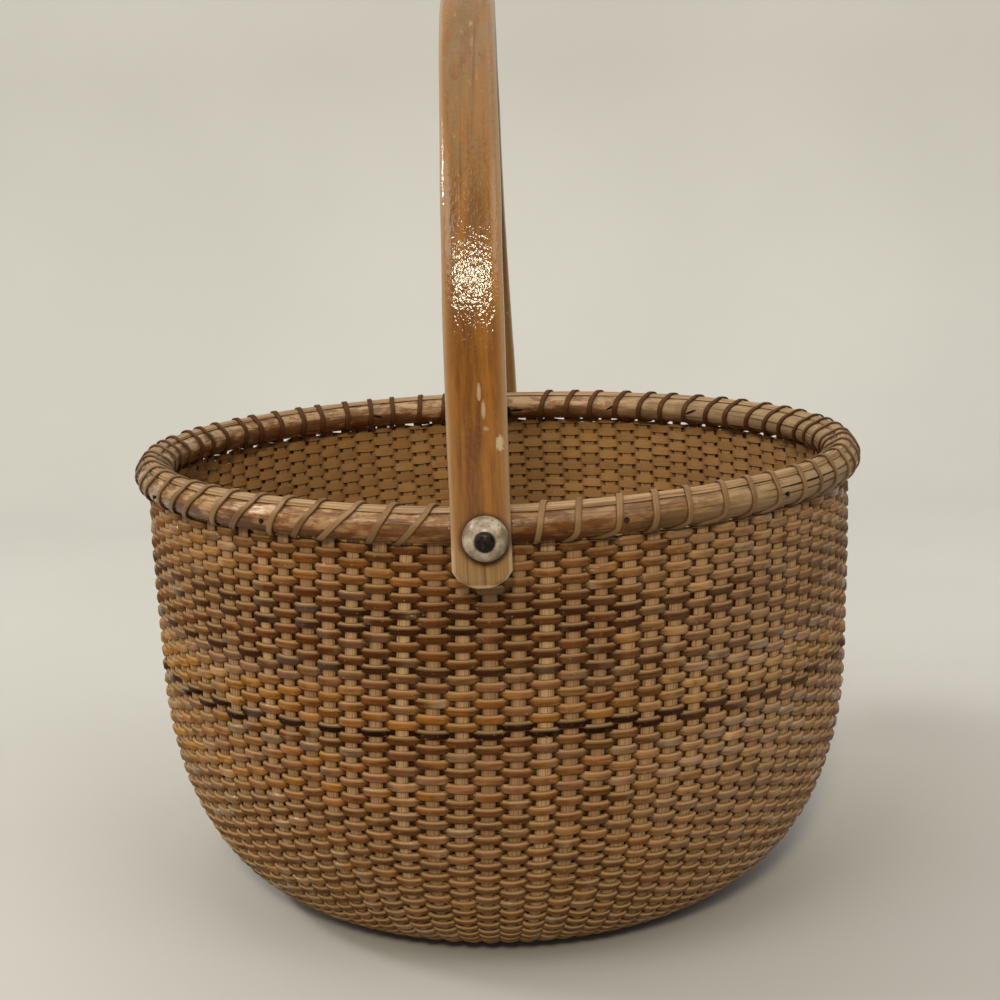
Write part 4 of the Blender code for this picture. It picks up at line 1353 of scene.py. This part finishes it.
def make_floor():
    """A pale sheet that lies under the basket and curves up behind it, with painted shade near the
    basket and painted light towards the right.
    """
    material, tree = start_material("pale_sheet")
    place = axes(tree)
    cloud = noise(tree, object_place(tree), 3.0)
    colour = stain(tree, rgb(192, 190, 182), rgb(187, 185, 177), cloud, 0.3, 0.7)
    # Painted shadow of the basket, deepest near it and on its right, and painted light that
    # lightens the sheet towards the right
    near = times(tree, remap(tree, place["Y"], *FLOOR_SHADE_Y),
                 remap(tree, place["X"], *FLOOR_SHADE_X, 0.40, 1.0))
    for share, tint in ((remap(tree, place["X"], *FLOOR_RIGHT_X), (1.07, 1.07, 1.08, 1.0)),
                        (near, (0.76, 0.75, 0.75, 1.0))):
        colour = mix(tree, share, colour, tint, "MULTIPLY")
    line = [(FLOOR_FRONT, 0.0), (FLOOR_BEND, 0.0)]
    line += arc_points((FLOOR_BEND, FLOOR_BEND_RADIUS), (FLOOR_BEND_RADIUS, FLOOR_BEND_RADIUS),
                       -90, 0, 24)[1:]
    line.append((FLOOR_BEND + FLOOR_BEND_RADIUS, FLOOR_TOP))
    points = [(x, y, z) for y, z in line for x in (-FLOOR_SIDE, FLOOR_SIDE)]
    faces = [(2 * i, 2 * i + 1, 2 * i + 3, 2 * i + 2) for i in range(len(line) - 1)]
    mesh = bpy.data.meshes.new("pale_sheet")
    mesh.from_pydata(points, [], faces)
    mesh.shade_smooth()
    mesh.materials.append(surface(material, Base_Color=colour, Roughness=0.9))
    add_object("pale_sheet", mesh)


def make_light():
    for name, place, target, size, power, tint in LAMPS:
        lamp = bpy.data.lights.new(name, "AREA")
        lamp.shape = "RECTANGLE"
        lamp.size, lamp.size_y = size
        lamp.energy = power
        lamp.color = tint
        item = add_object(name, lamp)
        item.location = place
        aim = Vector(target) - Vector(place)
        item.rotation_euler = aim.to_track_quat("-Z", "Y").to_euler()
    world = bpy.data.worlds.new("room")
    world.use_nodes = True
    connect_all(world.node_tree, world.node_tree.nodes["Background"],
                {"Color": rgb(232, 232, 230), "Strength": ROOM_LIGHT})
    bpy.context.scene.world = world


def make_camera():
    camera = bpy.data.cameras.new("camera")
    camera.lens = CAMERA_LENS
    item = add_object("camera", camera)
    item.matrix_world = (
        Matrix.Rotation(CAMERA_ORBIT, 4, "Z")
        @ Matrix.Translation((CAMERA_ASIDE, -CAMERA_DISTANCE, CAMERA_HEIGHT))
        @ Matrix.Rotation(math.pi / 2 - CAMERA_PITCH, 4, "X")
        @ Matrix.Rotation(-CAMERA_ROLL, 4, "Z"))
    bpy.context.scene.camera = item


def main():
    cane, rattan, hoop_wood = cane_material(), stave_material(), hoop_material()
    bone, metal = bone_material(), metal_material()
    make_camera()
    make_light()
    make_floor()
    make_weaver(cane)
    make_staves(rattan)
    make_rim(hoop_wood, filler_material())
    make_lashing(lashing_material())
    make_handle(handle_material())
    make_pivots(bone, metal)
    make_base(plate_material())
    for name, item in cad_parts.items():
        if name.endswith("_burr") or name.startswith("rim_brad"):
            item.material_slots[0].material = metal
        if name.endswith("_spacer_washer"):
            item.material_slots[0].material = bone
    bpy.context.scene.view_settings.view_transform = "Standard"


main()
